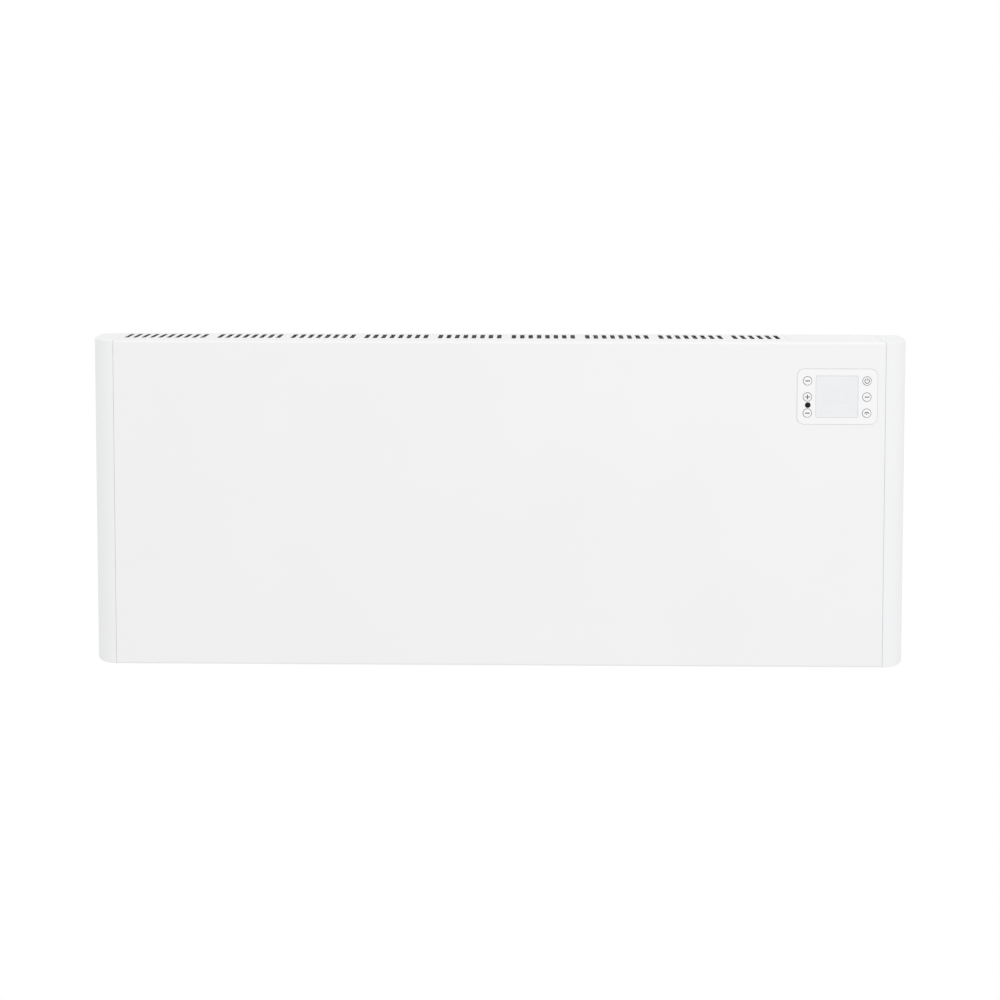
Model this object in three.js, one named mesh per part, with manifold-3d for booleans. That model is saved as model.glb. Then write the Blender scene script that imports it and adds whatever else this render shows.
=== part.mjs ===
// Wall panel convector heater with a push-key control panel, hung on a wall rail.
// Millimetres, +Z up, X to the viewer's right, +Y towards the wall.
// The origin is the centre of the wall rail's back face, on the wall.
import * as THREE from "three";
import { mergeVertices } from "three/addons/utils/BufferGeometryUtils.js";
import Module from "manifold-3d";

const wasm = await Module();
wasm.setup();

// ---------- driving dimensions ----------
// Casing
const PANEL_W = 944.4; // front panel, seam to seam
const BODY_H = 402;
const BODY_D = 88;
const CAP_W = 31.5; // end cap, from its seam to its side
const SEAM = 0.3; // line between the front panel and an end cap
const SHEET = 0.8; // painted casing sheet
const BACK_SHEET = 0.8;
const JOINT = 0.4; // gap between sheets that meet
const BEND = 3; // outer radius of the front panel's folds
const TOP_LIP = 11; // front panel's fold over the top
const BOTTOM_LIP = 14;

// End caps
const CAP_WALL = 2.5;
const CAP_FRONT_DEPTH = 50; // depth over which the front corner sweeps round
const CAP_BACK_RADIUS = 8;
const CAP_SETBACK = 0.6; // cap's front edge behind the panel's face
const CAP_SHORT = 0.1; // cap's ends inside the casing's top and bottom
const BOSS_R = 4;
const BOSS_BORE_R = 2.2;
const CAP_SCREW_IN = 14; // from the casing's back
const CAP_SCREW_INSET = 34; // from the casing's top and bottom
const CAP_SCREW_L = 14; // into the cap

// Top outlet: groups of slots, from the left end up to the control lid
const OUTLET_FIRST_GROUP = 10; // slots
const OUTLET_GROUP = 8;
const OUTLET_FIRST_IN = 8.2; // centre of the first slot from the panel's left end
const OUTLET_LAST_IN = 9; // least from the last slot's centre to the lid
const OUTLET_PITCH = 10.5;
const OUTLET_GROUP_STEP = 18.3; // last slot of a group to the first of the next
const OUTLET_FIRST_STEP = 21; // the same after the first group
const OUTLET_SLOT_W = 5.6;
const OUTLET_SLOT_IN = { front: 36, back: 7 }; // slots' ends from the casing's front and back
const SLOT_CORNER = 0.6; // share of half its width that a slot's corners are cut back
const GRILLE_LIP = 8;

// Lid over the controls
const LID_RUN = 114.2; // from its seam with the slotted sheet to the panel's right end
const LID_T = 2;
const LID_SKIRT = { x: 7, y: 3, h: 10, t: 1.6 }; // set in from the lid's edges

// Bottom inlet and rear inlet
const INLET_SLOTS = 30;
const INLET_END_IN = 24; // first and last slot from the slotted length's ends
const INLET_SLOT_W = 9;
const INLET_SLOT_IN = { front: 26, back: 12 };
const REAR_SLOTS = 26;
const REAR_SLOT_W = 6;
const REAR_SLOT_INSET = 30; // first and last slot from the heating chamber's ends
const REAR_SLOT_Z = [70, 108];

// Inner frame plates
const PLATE_T = 1;
const PLATE_FLANGE = 12;
const PLATE_GAP = 1; // to the casing, clear of the inside of its folds
const END_PLATE_INSET = 0.6; // from the casing sheets' ends
const PARTITION_PAST = 2.8; // partition plate past the lid's seam
const FLANGE_CLEAR = 8; // plates' front flanges stop this far under the control panel
const WIRE_WINDOW = { front: 36, back: 8, z: [45, 80] }; // in the right end plate
const SHIELD_T = 0.5;
const SHIELD_Y = 13.8;
const SHIELD_LOW = 72;
const SHIELD_TOP_IN = 22; // from the casing's top
const SHIELD_FOOT = 9; // lower edge folded towards the front panel

// Heating elements
const ELEMENT_IN = 40; // from the casing's back
const ELEMENT_Z = { lower: 92, upper: 152 };
const ELEMENT_CORE_R = 5;
const ELEMENT_CORE_PAST = 8; // core past the first and last fin
const ELEMENT_FINS = 14;
const ELEMENT_END_ROOM = 41; // plate to the first fin
const FIN_SPACE = 8; // between neighbouring fins
const FIN_HALF = 27; // blade length each way from the core
const FIN_T = 1.2;
const FIN_ANGLE = 38;
const ELEMENT_PIN_R = 3.4;
const ELEMENT_PIN_OUT = 11; // pin past its plate
const BUSH_GAP = 0.5; // pin to bush, and bush to its hole in the plate
const BUSH_LEDGE = 3.6; // flange past the neck
const BUSH_NECK_R = 7.4;
const BUSH_BORE_R = ELEMENT_PIN_R + BUSH_GAP;
const BUSH_HOLE_R = BUSH_NECK_R + BUSH_GAP;
const BUSH_FLANGE_R = BUSH_NECK_R + BUSH_LEDGE;
const BUSH_NECK_OUT = 5; // neck past its plate
const BUSH_FLANGE_T = 3;
const CUTOUT = { z: 214, r: 8, depth: 4, h: 9, flange: 11, flangeT: 1.2 }; // thermal cut-out
const CUTOUT_TAB = { dy: 4, t: 0.8, w: 6, l: 8 };
const WIRE_HOLE = { y: 30, r: 6, z: [120, 250] }; // in the partition plate

// Control panel: in and down are from the front panel's right end and top
const FASCIA = { in: 58.65, down: 66.45, w: 98, h: 68.3, r: 9 };
const FASCIA_GAP = 0.2; // all round, to the front panel
const FASCIA_PROUD = 0.4;
const FASCIA_FACE_T = 2.4;
const FASCIA_RIM = 2.2; // rear flange past the opening
const FASCIA_RIM_T = 1.6;
const FASCIA_WALL = 1.6;
const FASCIA_DEPTH = 14;
const WINDOW = { in: 59.1, down: 66.6, w: 51.2, h: 51.1, r: 1 };
const WINDOW_GAP = 0.15;
const WINDOW_SUNK = 0.2; // pane's face behind the fascia's
const LCD_PAST = 2; // display module past the pane, all round
const KEY_R = 5;
const KEY_GAP = 0.6;
const KEY_PROUD = 0.5;
const KEY_TRAVEL = 0.6;
const KEY_LEDGE = 1.2; // flange past the key, which holds it in its hole
const KEY_FLANGE_R = KEY_R + KEY_LEDGE;
const KEY_FLANGE_T = 1;
const KEY_STEM_R = 1.8;
const KEY_COLUMN_IN = { left: 95, right: 22.8 };
const KEY_MIDDLE_DOWN = 66.85; // middle row
const KEY_ROW_GAP = 7.3; // between the flanges of the upper two rows
const EYE = { in: 94.5, r: 3.3 }; // remote control receiver's window, between the lower two rows
const EYE_CLEAR = { over: 0.55, under: 0.25 }; // to the flanges over and under it
const EYE_DOWN = KEY_MIDDLE_DOWN + KEY_FLANGE_R + EYE_CLEAR.over + EYE.r;
const KEY_ROW_DOWN = [
  KEY_MIDDLE_DOWN - 2 * KEY_FLANGE_R - KEY_ROW_GAP,
  KEY_MIDDLE_DOWN,
  EYE_DOWN + EYE.r + EYE_CLEAR.under + KEY_FLANGE_R,
];
const KEYS = [
  ["key_mode", "left", 0],
  ["key_plus", "left", 1],
  ["key_minus", "left", 2],
  ["key_power", "right", 0],
  ["key_set", "right", 1],
  ["key_timer", "right", 2],
];
const EYE_GAP = 0.2;
const BOARD_T = 1.6;
const CONTROL_BOARD_Y = 10.4;
const KEY_STEM_END = 6.4;
const SWITCH_CLEARANCE = 0.15; // stem of a pressed key to its switch
const KEY_SWITCH = { half: 3, plungerR: 1.6, plunger: 0.5 };
const RECEIVER = { halfW: 2.5, halfH: 3 }; // on the board, behind its window
const RADIO = { dx: -2, dz: 18, w: 24, h: 16, t: 3 }; // radio block, from the fascia's middle
const SUNK = 0.2; // how far a part on a board is let into it

// Power electronics
const POWER_BOARD = { in: 52.2, z: 190, w: 84, h: 126, back: 20 };
const RELAY = { dx: -22, dz: { lower: -30, upper: 6 }, size: [13, 16, 29] };
const TRANSFORMER = { dx: 18, dz: 30, size: [26, 22, 24] };
const CAPACITOR = { dx: -22, dz: 42, r: 5, l: 20 };
const TERMINAL = { dz: -45, first: -1, pitch: 10, depth: 13, h: 14, count: 4 };
const CLAMP = { r: 2.6, floor: 4 }; // terminal's wells, and what is left under them
const TRAY_T = 2.4;
const TRAY_PAST = { x: 1, z: 4 }; // tray past its board
const POST_R = 3;
const POST_INSET = 6;

// Mains switch in the right end cap
const SWITCH = { in: 19, z: 62, w: 13, h: 19.4, bezel: 1.2, bezelT: 1.6, depth: 17 };
const SWITCH_HOLE_GAP = 0.3;
const ROCKER = { half: 7.6, w: 10.4, reach: 5.2, root: 3.6, dish: 1.1, pivotIn: 4.8 };
const ROCKER_TAPER = { root: 0.62, shoulder: 0.45, crest: 0.96 }; // shares of its half and reach
const ROCKER_TILT = 9; // degrees each side of level
const ROCKER_WELL_GAP = 1.3;
const ROCKER_SIDE_GAP = 0.3;
const SWITCH_TAB = { l: 7, half: 2.4, t: 0.8, dz: 5 };
const PIN_R = 0.9;
const PIN_SHORT = 0.2; // pin's ends inside the housing's sides
const PIN_RUN_GAP = 0.3; // faceted bore to faceted pin

// Cable entry
const GLAND = { in: 44.2, z: 24, bore: 4.2, neck: 7, flange: 10.5, flangeT: 2, out: 8, inside: 2 };
const GLAND_HOLE_GAP = 0.4;

// Room sensor on the bottom grille
const SENSOR = { in: 142.2, back: 8, top: 21 };
const SENSOR_FOOT = { w: 10, d: 8, t: 2 };
const SENSOR_STEM = { r: 1.4, bulbR: 2.4, bulbL: 7 };

// Leads: mid-points are from the partition or the panel's right end, the casing's back and the bottom
const WIRE_R = 1.3;
const WIRE_STEPS = 16;
const WIRE_LEAD = 5; // straight run at each end
const LOWER_LEAD = [{ past: 31, back: 46, z: 98 }, { past: 43, back: 54, z: 124 }];
const UPPER_LEAD = [{ past: 35, back: 54, z: 152 }];
const LIVE_LEAD = [{ in: 10.2, back: 32, z: 80 }, { in: 26.2, back: 48, z: 128 }];
const NEUTRAL_LEAD = [{ in: 10.2, back: 36, z: 60 }, { in: 16.2, back: 52, z: 112 }];
const CABLE = {
  top: { dx: 26.4, dz: -19.6 }, // from the fascia's middle
  middle: { dx: 30.4, y: 32 }, // halfway down between the two
  foot: { dx: 28, dz: 54 }, // from the power board's middle
};

// Wall rail, hooks and stand-offs
const WALL_GAP = 17; // casing's back to the wall
const RAIL_DOWN = 137; // rail's centre below the casing's top
const RAIL_L = 560;
const RAIL_H = 60;
const RAIL_T = 1.5;
const RAIL_ARM = 7;
const HOOK_X = 200;
const HOOK_W = 30;
const HOOK_RISE = 12;
const HOOK_BEHIND = 1.2; // hook's finger to the back sheet
const HOOK_SLOT_SIDE = 4;
const HOOK_SLOT_DROP = 19;
const HANG_GAP = 0.3;
const RAIL_HOLE_R = 3;
const RAIL_HOLES_X = [-250, -90, 90, 250];
const SPACER = { in: 80.2, z: 46, w: 40, h: 44, wall: 3 };
const SCREW_R = 1.8;
const SCREW_HEAD_R = 3.6;
const SCREW_HEAD_H = 2.2;
const SCREW_HOLE_R = 2.4;
const SPACER_SCREW_IN = 6; // past the back sheet

const TOUCH = 0.3; // clearance between pieces that bear on each other
const OVER = 1; // how far a cutting tool runs past what it cuts
const LAP = 0.5; // how far joined solids run into each other
const AXIS = 0.01; // inner radius of a turned piece that is solid, whose middle a rod fills

// ---------- materials ----------
const paint = { color: 0xf1f1f1, roughness: 0.5, metalness: 0 };
const finishes = {
  white_paint: new THREE.MeshStandardMaterial(paint),
  white_plastic: new THREE.MeshStandardMaterial({ ...paint, color: 0xebecef, roughness: 0.4 }),
  gloss_white: new THREE.MeshStandardMaterial({ ...paint, color: 0xf8f8f8, roughness: 0.2 }),
  display_glass: new THREE.MeshStandardMaterial({ color: 0xe9ecf0, roughness: 0.1 }),
  black_lens: new THREE.MeshStandardMaterial({ color: 0x0a0a0a, roughness: 0.15 }),
  galvanised: new THREE.MeshStandardMaterial({ color: 0xb4b8ba, roughness: 0.45, metalness: 1 }),
  aluminium: new THREE.MeshStandardMaterial({ color: 0xc9cbcd, roughness: 0.4, metalness: 1 }),
  zinc_steel: new THREE.MeshStandardMaterial({ color: 0xa9acb0, roughness: 0.35, metalness: 1 }),
  ceramic: new THREE.MeshStandardMaterial({ color: 0xe8e1d2, roughness: 0.7 }),
  board_green: new THREE.MeshStandardMaterial({ color: 0x1f5b3a, roughness: 0.6 }),
  black_plastic: new THREE.MeshStandardMaterial({ color: 0x1b1b1d, roughness: 0.45 }),
  blue_plastic: new THREE.MeshStandardMaterial({ color: 0x2f5f9e, roughness: 0.45 }),
  red_wire: new THREE.MeshStandardMaterial({ color: 0x9a3a2c, roughness: 0.6 }),
  blue_wire: new THREE.MeshStandardMaterial({ color: 0x2c4f8f, roughness: 0.6 }),
};

// ---------- solids ----------
function toSolid(geometry) {
  const bare = new THREE.BufferGeometry();
  const flat = geometry.index ? geometry.toNonIndexed() : geometry;
  bare.setAttribute("position", flat.getAttribute("position"));
  const merged = mergeVertices(bare, 1e-4);
  return new wasm.Manifold(
    new wasm.Mesh({
      numProp: 3,
      vertProperties: merged.attributes.position.array,
      triVerts: new Uint32Array(merged.index.array),
    }),
  );
}

function toGeometry(solid) {
  const made = solid.getMesh();
  const geometry = new THREE.BufferGeometry();
  geometry.setAttribute("position", new THREE.BufferAttribute(made.vertProperties, 3));
  geometry.setIndex(new THREE.BufferAttribute(made.triVerts, 1));
  const faceted = geometry.toNonIndexed();
  faceted.computeVertexNormals();
  return faceted;
}

const join = (first, ...more) => toGeometry(more.reduce((a, b) => a.add(toSolid(b)), toSolid(first)));

const cut = (first, ...tools) =>
  toGeometry(tools.reduce((a, b) => a.subtract(toSolid(b)), toSolid(first)));

// A box given by its low and high corner on each axis.
function block([x0, x1], [y0, y1], [z0, z1]) {
  const box = new THREE.BoxGeometry(x1 - x0, y1 - y0, z1 - z0);
  return box.translate((x0 + x1) / 2, (y0 + y1) / 2, (z0 + z1) / 2);
}

// A cylinder along an axis, between two stations on it, centred at the other two coordinates.
function rod(axis, r, from, to, [u, v], sides = 16) {
  const made = new THREE.CylinderGeometry(r, r, to - from, sides);
  const middle = (from + to) / 2;
  if (axis === "x") return made.rotateZ(-Math.PI / 2).translate(middle, u, v);
  if (axis === "y") return made.translate(u, middle, v);
  return made.rotateX(Math.PI / 2).translate(u, v, middle);
}

// A turned piece along an axis: closed outline of [radius, station] pairs.
function turned(axis, outline, [u, v], sides = 16) {
  const points = [...outline, outline[0]].map(([r, s]) => new THREE.Vector2(r, s));
  const made = new THREE.LatheGeometry(points, sides);
  if (axis === "x") return made.rotateZ(-Math.PI / 2).translate(0, u, v);
  return made.translate(u, 0, v);
}

// A solid turned piece: its outer outline between two stations, with its middle filled.
function joinedCore(axis, [low, high], at, outer) {
  const shell = turned(axis, [[AXIS, low], ...outer, [AXIS, high]], at, 12);
  return join(shell, rod(axis, 1, low + AXIS, high - AXIS, at, 8));
}

function roundedRect(Kind, { x, z, w, h, r }) {
  const [x0, x1, z0, z1] = [x - w / 2, x + w / 2, z - h / 2, z + h / 2];
  const path = new Kind();
  path.moveTo(x0 + r, z0);
  path.lineTo(x1 - r, z0);
  path.absarc(x1 - r, z0 + r, r, -Math.PI / 2, 0);
  path.lineTo(x1, z1 - r);
  path.absarc(x1 - r, z1 - r, r, 0, Math.PI / 2);
  path.lineTo(x0 + r, z1);
  path.absarc(x0 + r, z1 - r, r, Math.PI / 2, Math.PI);
  path.lineTo(x0, z0 + r);
  path.absarc(x0 + r, z0 + r, r, Math.PI, 1.5 * Math.PI);
  return path;
}

const grown = (rect, by) => ({ ...rect, w: rect.w + 2 * by, h: rect.h + 2 * by, r: rect.r + by });

// A plate facing the front, from an outline in X and Z, filling y0 to y1.
function frontPlate(shape, [y0, y1], curveSegments = 5) {
  const made = new THREE.ExtrudeGeometry(shape, { depth: y1 - y0, bevelEnabled: false, curveSegments });
  return made.rotateX(Math.PI / 2).translate(0, y1, 0);
}

// A level plate from an outline in X and Y, filling z0 to z1.
function levelPlate(shape, [z0, z1], curveSegments = 5) {
  const made = new THREE.ExtrudeGeometry(shape, { depth: z1 - z0, bevelEnabled: false, curveSegments });
  return made.translate(0, 0, z0);
}

// A section in Y and Z run along X, from x0 to x1.
function alongX(shape, [x0, x1], curveSegments = 4) {
  const made = new THREE.ExtrudeGeometry(shape, { depth: x1 - x0, bevelEnabled: false, curveSegments });
  const turn = new THREE.Matrix4().makeBasis(
    new THREE.Vector3(0, 1, 0),
    new THREE.Vector3(0, 0, 1),
    new THREE.Vector3(1, 0, 0),
  );
  return made.applyMatrix4(turn).translate(x0, 0, 0);
}

const outlineOf = (points) => new THREE.Shape(points.map(([a, b]) => new THREE.Vector2(a, b)));

function polygon(r, sides) {
  const turn = (i) => (2 * Math.PI * i) / sides;
  return outlineOf(Array.from({ length: sides }, (_, i) => [r * Math.cos(turn(i)), r * Math.sin(turn(i))]));
}

// Corners of a long slot with cut ends.
function slotCorners(x, [low, high], width) {
  const half = width / 2;
  const cutBack = half * SLOT_CORNER;
  return [
    [x - half + cutBack, low],
    [x + half - cutBack, low],
    [x + half, low + cutBack],
    [x + half, high - cutBack],
    [x + half - cutBack, high],
    [x - half + cutBack, high],
    [x - half, high - cutBack],
    [x - half, low + cutBack],
  ];
}

const holeOf = (points) => new THREE.Path(points.map(([a, b]) => new THREE.Vector2(a, b)));

const mirrored = (geometry) => toGeometry(toSolid(geometry).mirror([1, 0, 0]));

// ---------- assembly ----------
const railUp = BODY_H - RAIL_DOWN;
const heater = new THREE.Group();
heater.position.set(0, -(WALL_GAP + BODY_D), -railUp);
const assembly = new THREE.Group();
assembly.add(heater);

function piece(name, finish, geometry, parent = heater) {
  const mesh = new THREE.Mesh(geometry, finishes[finish]);
  mesh.name = name;
  parent.add(mesh);
  return mesh;
}

const panelEnd = PANEL_W / 2;
const outletEnd = panelEnd - LID_RUN;
const partitionX = outletEnd + PARTITION_PAST;
const capStart = panelEnd + SEAM;
const capSide = capStart + CAP_W;
const backInside = BODY_D - BACK_SHEET;
const sheetBack = backInside - JOINT; // where level sheets stop short of the back sheet
const sheetFront = TOP_LIP + JOINT;

// A size given in and down from the front panel's right end and top, with its place added.
const placed = (size) => ({ ...size, x: panelEnd - size.in, z: BODY_H - size.down });
const fascia = placed(FASCIA);
const pane = placed(WINDOW);
const eye = placed({ ...EYE, down: EYE_DOWN });
const keyPlace = (column, row) => [panelEnd - KEY_COLUMN_IN[column], BODY_H - KEY_ROW_DOWN[row]];
const spacerX = panelEnd - SPACER.in;
const glandX = panelEnd - GLAND.in;
const capScrewY = BODY_D - CAP_SCREW_IN;
const elementY = BODY_D - ELEMENT_IN;

// ---------- casing ----------
function frontPanelSection() {
  const inner = BEND - SHEET;
  const section = new THREE.Shape();
  section.moveTo(BOTTOM_LIP, 0);
  section.lineTo(BOTTOM_LIP, SHEET);
  section.lineTo(BEND, SHEET);
  section.absarc(BEND, BEND, inner, -Math.PI / 2, -Math.PI, true);
  section.lineTo(SHEET, BODY_H - BEND);
  section.absarc(BEND, BODY_H - BEND, inner, Math.PI, Math.PI / 2, true);
  section.lineTo(TOP_LIP, BODY_H - SHEET);
  section.lineTo(TOP_LIP, BODY_H);
  section.lineTo(BEND, BODY_H);
  section.absarc(BEND, BODY_H - BEND, BEND, Math.PI / 2, Math.PI);
  section.lineTo(0, BEND);
  section.absarc(BEND, BEND, BEND, Math.PI, 1.5 * Math.PI);
  return section;
}

function buildFrontPanel() {
  const folded = alongX(frontPanelSection(), [-panelEnd, panelEnd]);
  const opening = frontPlate(roundedRect(THREE.Shape, fascia), [-OVER, SHEET + OVER]);
  piece("front_panel", "white_paint", cut(folded, opening));
}

function outletSlotCentres() {
  const last = outletEnd - OUTLET_LAST_IN;
  const centres = [];
  let x = OUTLET_FIRST_IN - panelEnd;
  let count = OUTLET_FIRST_GROUP;
  let step = OUTLET_FIRST_STEP;
  while (x <= last) {
    for (let i = 0; i < count && x <= last; i++) {
      centres.push(x);
      x += OUTLET_PITCH;
    }
    x += step - OUTLET_PITCH;
    count = OUTLET_GROUP;
    step = OUTLET_GROUP_STEP;
  }
  return centres;
}

function levelSheet([x0, x1], [y0, y1], holes, thickness, top) {
  const shape = outlineOf([[x0, y0], [x1, y0], [x1, y1], [x0, y1]]);
  shape.holes.push(...holes.map(holeOf));
  return levelPlate(shape, [top - thickness, top]);
}

function buildGrilles() {
  const across = ({ front, back }) => [front, BODY_D - back];
  const slotSpan = across(OUTLET_SLOT_IN);
  const slots = outletSlotCentres().map((x) => slotCorners(x, slotSpan, OUTLET_SLOT_W));
  const outlet = levelSheet([-panelEnd, outletEnd], [sheetFront, sheetBack], slots, SHEET, BODY_H);
  const lipEnd = END_PLATE_INSET + PLATE_T + JOINT;
  const lip = block(
    [-panelEnd + lipEnd, outletEnd - JOINT],
    [sheetFront, sheetFront + SHEET],
    [BODY_H - GRILLE_LIP, BODY_H - SHEET / 2],
  );
  piece("top_grille", "white_paint", join(outlet, lip));

  const inletPitch = (outletEnd + panelEnd - 2 * INLET_END_IN) / (INLET_SLOTS - 1);
  const inlets = Array.from({ length: INLET_SLOTS }, (_, i) =>
    slotCorners(INLET_END_IN - panelEnd + i * inletPitch, across(INLET_SLOT_IN), INLET_SLOT_W),
  );
  const inletSpan = [BOTTOM_LIP + JOINT, sheetBack];
  piece(
    "bottom_grille",
    "white_paint",
    levelSheet([-panelEnd, panelEnd], inletSpan, inlets, SHEET, SHEET),
  );
}

function buildControlLid() {
  const [x0, x1] = [outletEnd + SEAM, panelEnd];
  const under = BODY_H - LID_T;
  const lid = block([x0, x1], [sheetFront, sheetBack], [under, BODY_H]);
  const outer = [x0 + LID_SKIRT.x, x1 - LID_SKIRT.x];
  const deep = [sheetFront + LID_SKIRT.y, sheetBack - LID_SKIRT.y];
  const foot = BODY_H - LID_SKIRT.h;
  const inside = block(
    [outer[0] + LID_SKIRT.t, outer[1] - LID_SKIRT.t],
    [deep[0] + LID_SKIRT.t, deep[1] - LID_SKIRT.t],
    [foot - OVER, under],
  );
  const skirt = block(outer, deep, [foot, under + LID_T / 2]);
  piece("control_lid", "white_paint", cut(join(lid, skirt), inside));
}

const hookSlotTop = railUp + RAIL_H / 2 + HANG_GAP;
const hookSlotZ = [hookSlotTop - HOOK_SLOT_DROP, hookSlotTop];

function buildBackPanel() {
  const through = [backInside - OVER, BODY_D + OVER];
  const rearStep = (partitionX + panelEnd - 2 * REAR_SLOT_INSET) / (REAR_SLOTS - 1);
  const tools = Array.from({ length: REAR_SLOTS }, (_, i) => {
    const x = REAR_SLOT_INSET - panelEnd + i * rearStep;
    return frontPlate(outlineOf(slotCorners(x, REAR_SLOT_Z, REAR_SLOT_W)), through);
  });
  const hookHalf = HOOK_W / 2 + HOOK_SLOT_SIDE;
  for (const side of [-1, 1]) {
    const [hookX, screwX] = [side * HOOK_X, side * spacerX];
    tools.push(block([hookX - hookHalf, hookX + hookHalf], through, hookSlotZ));
    tools.push(rod("y", SCREW_HOLE_R, ...through, [screwX, SPACER.z], 12));
  }
  tools.push(rod("y", GLAND.neck + GLAND_HOLE_GAP, ...through, [glandX, GLAND.z], 16));
  const sheet = block([-panelEnd, panelEnd], [backInside, BODY_D], [0, BODY_H]);
  piece("back_panel", "galvanised", cut(sheet, ...tools));
}

// Outline of the right end cap seen from above, set in from its outside by inset.
function capOutline(inset) {
  const start = capStart - (inset > 0 ? OVER : 0); // the hollow runs out through the open side
  const side = capSide - inset;
  const front = CAP_SETBACK + inset;
  const back = BODY_D - inset;
  const corner = CAP_BACK_RADIUS - inset;
  const outline = new THREE.Shape();
  outline.moveTo(start, back);
  outline.lineTo(start, front);
  outline.absellipse(capStart, CAP_FRONT_DEPTH, side - capStart, CAP_FRONT_DEPTH - front, -Math.PI / 2, 0);
  outline.lineTo(side, back - corner);
  outline.absarc(side - corner, back - corner, corner, 0, Math.PI / 2);
  outline.lineTo(start, back);
  return outline;
}

const capScrewHeights = [CAP_SCREW_INSET, BODY_H - CAP_SCREW_INSET];

function capShell() {
  const ends = [CAP_SHORT, BODY_H - CAP_SHORT];
  const outside = levelPlate(capOutline(0), ends, 12);
  const hollow = levelPlate(capOutline(CAP_WALL), [ends[0] + CAP_WALL, ends[1] - CAP_WALL], 12);
  const bossEnds = [capStart + TOUCH, capSide - CAP_WALL / 2];
  const bosses = capScrewHeights.map((z) => rod("x", BOSS_R, ...bossEnds, [capScrewY, z], 12));
  const bores = capScrewHeights.map((z) =>
    rod("x", BOSS_BORE_R, bossEnds[0] - OVER, bossEnds[1] - CAP_WALL, [capScrewY, z], 12),
  );
  return cut(join(cut(outside, hollow), ...bosses), ...bores);
}

const switchY = BODY_D - SWITCH.in;

function buildEndCaps() {
  const shell = capShell();
  piece("left_end_cap", "white_plastic", mirrored(shell));
  const half = { w: SWITCH.w / 2 + SWITCH_HOLE_GAP, h: SWITCH.h / 2 + SWITCH_HOLE_GAP };
  const opening = block(
    [capSide - CAP_WALL - OVER, capSide + OVER],
    [switchY - half.w, switchY + half.w],
    [SWITCH.z - half.h, SWITCH.z + half.h],
  );
  piece("right_end_cap", "white_plastic", cut(shell, opening));
}

// ---------- inner frame ----------
const plateZ = [SHEET + PLATE_GAP, BODY_H - SHEET - PLATE_GAP];
const plateY = [SHEET + PLATE_GAP, backInside - JOINT];
const endPlateX = panelEnd - END_PLATE_INSET - PLATE_T; // inner face of the right end plate
const lidPlateZ = [plateZ[0], BODY_H - LID_T - JOINT]; // plates that stop under the control lid
const underFascia = fascia.z - fascia.h / 2 - FLANGE_CLEAR;
const chamber = [-endPlateX, partitionX]; // between the plates that carry the elements

// An upright plate with front and back flanges; flangeTo is +1 or -1 along X.
function uprightPlate(x, flangeTo, [z0, z1], frontTop = z1) {
  const [y0, y1] = plateY;
  const web = [x, x + PLATE_T];
  const flange = flangeTo > 0 ? [x, x + PLATE_FLANGE] : [x + PLATE_T - PLATE_FLANGE, x + PLATE_T];
  return join(
    block(web, [y0, y1], [z0, z1]),
    block(flange, [y0, y0 + PLATE_T], [z0, frontTop]),
    block(flange, [y1 - PLATE_T, y1], [z0, z1]),
  );
}

// A round hole through an upright plate at x.
const plateHole = (x, r, at) => rod("x", r, x - OVER, x + PLATE_T + OVER, at, 12);

const elementHoles = (x) => Object.values(ELEMENT_Z).map((z) => plateHole(x, BUSH_HOLE_R, [elementY, z]));

function buildPlates() {
  const screwHoles = capScrewHeights.map((z) => plateHole(endPlateX, SCREW_HOLE_R, [capScrewY, z]));
  const leftX = -endPlateX - PLATE_T;
  const leftHoles = screwHoles.map((hole) => mirrored(hole));
  const left = cut(uprightPlate(leftX, 1, plateZ), ...leftHoles, ...elementHoles(leftX));
  piece("left_end_plate", "galvanised", left);

  const wireWindow = block(
    [endPlateX - OVER, endPlateX + PLATE_T + OVER],
    [BODY_D - WIRE_WINDOW.front, BODY_D - WIRE_WINDOW.back],
    WIRE_WINDOW.z,
  );
  piece(
    "right_end_plate",
    "galvanised",
    cut(uprightPlate(endPlateX, -1, lidPlateZ, underFascia), ...screwHoles, wireWindow),
  );

  const cutoutHole = plateHole(partitionX, CUTOUT.r + JOINT, [elementY, CUTOUT.z]);
  const wireHoles = WIRE_HOLE.z.map((z) => plateHole(partitionX, WIRE_HOLE.r, [WIRE_HOLE.y, z]));
  const partition = uprightPlate(partitionX, 1, lidPlateZ, underFascia);
  const holes = [...elementHoles(partitionX), cutoutHole, ...wireHoles];
  piece("partition_plate", "galvanised", cut(partition, ...holes));
}

function buildHeatShield() {
  const [z0, z1] = [SHIELD_LOW, BODY_H - SHIELD_TOP_IN];
  const back = SHIELD_Y + SHIELD_T;
  const section = outlineOf([
    [SHIELD_Y - SHIELD_FOOT, z0 - SHIELD_FOOT],
    [back - SHIELD_FOOT, z0 - SHIELD_FOOT - SHIELD_T],
    [back, z0],
    [back, z1],
    [SHIELD_Y, z1],
    [SHIELD_Y, z0],
  ]);
  piece("heat_shield", "galvanised", alongX(section, [chamber[0] + TOUCH, chamber[1] - TOUCH]));
}

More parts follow.
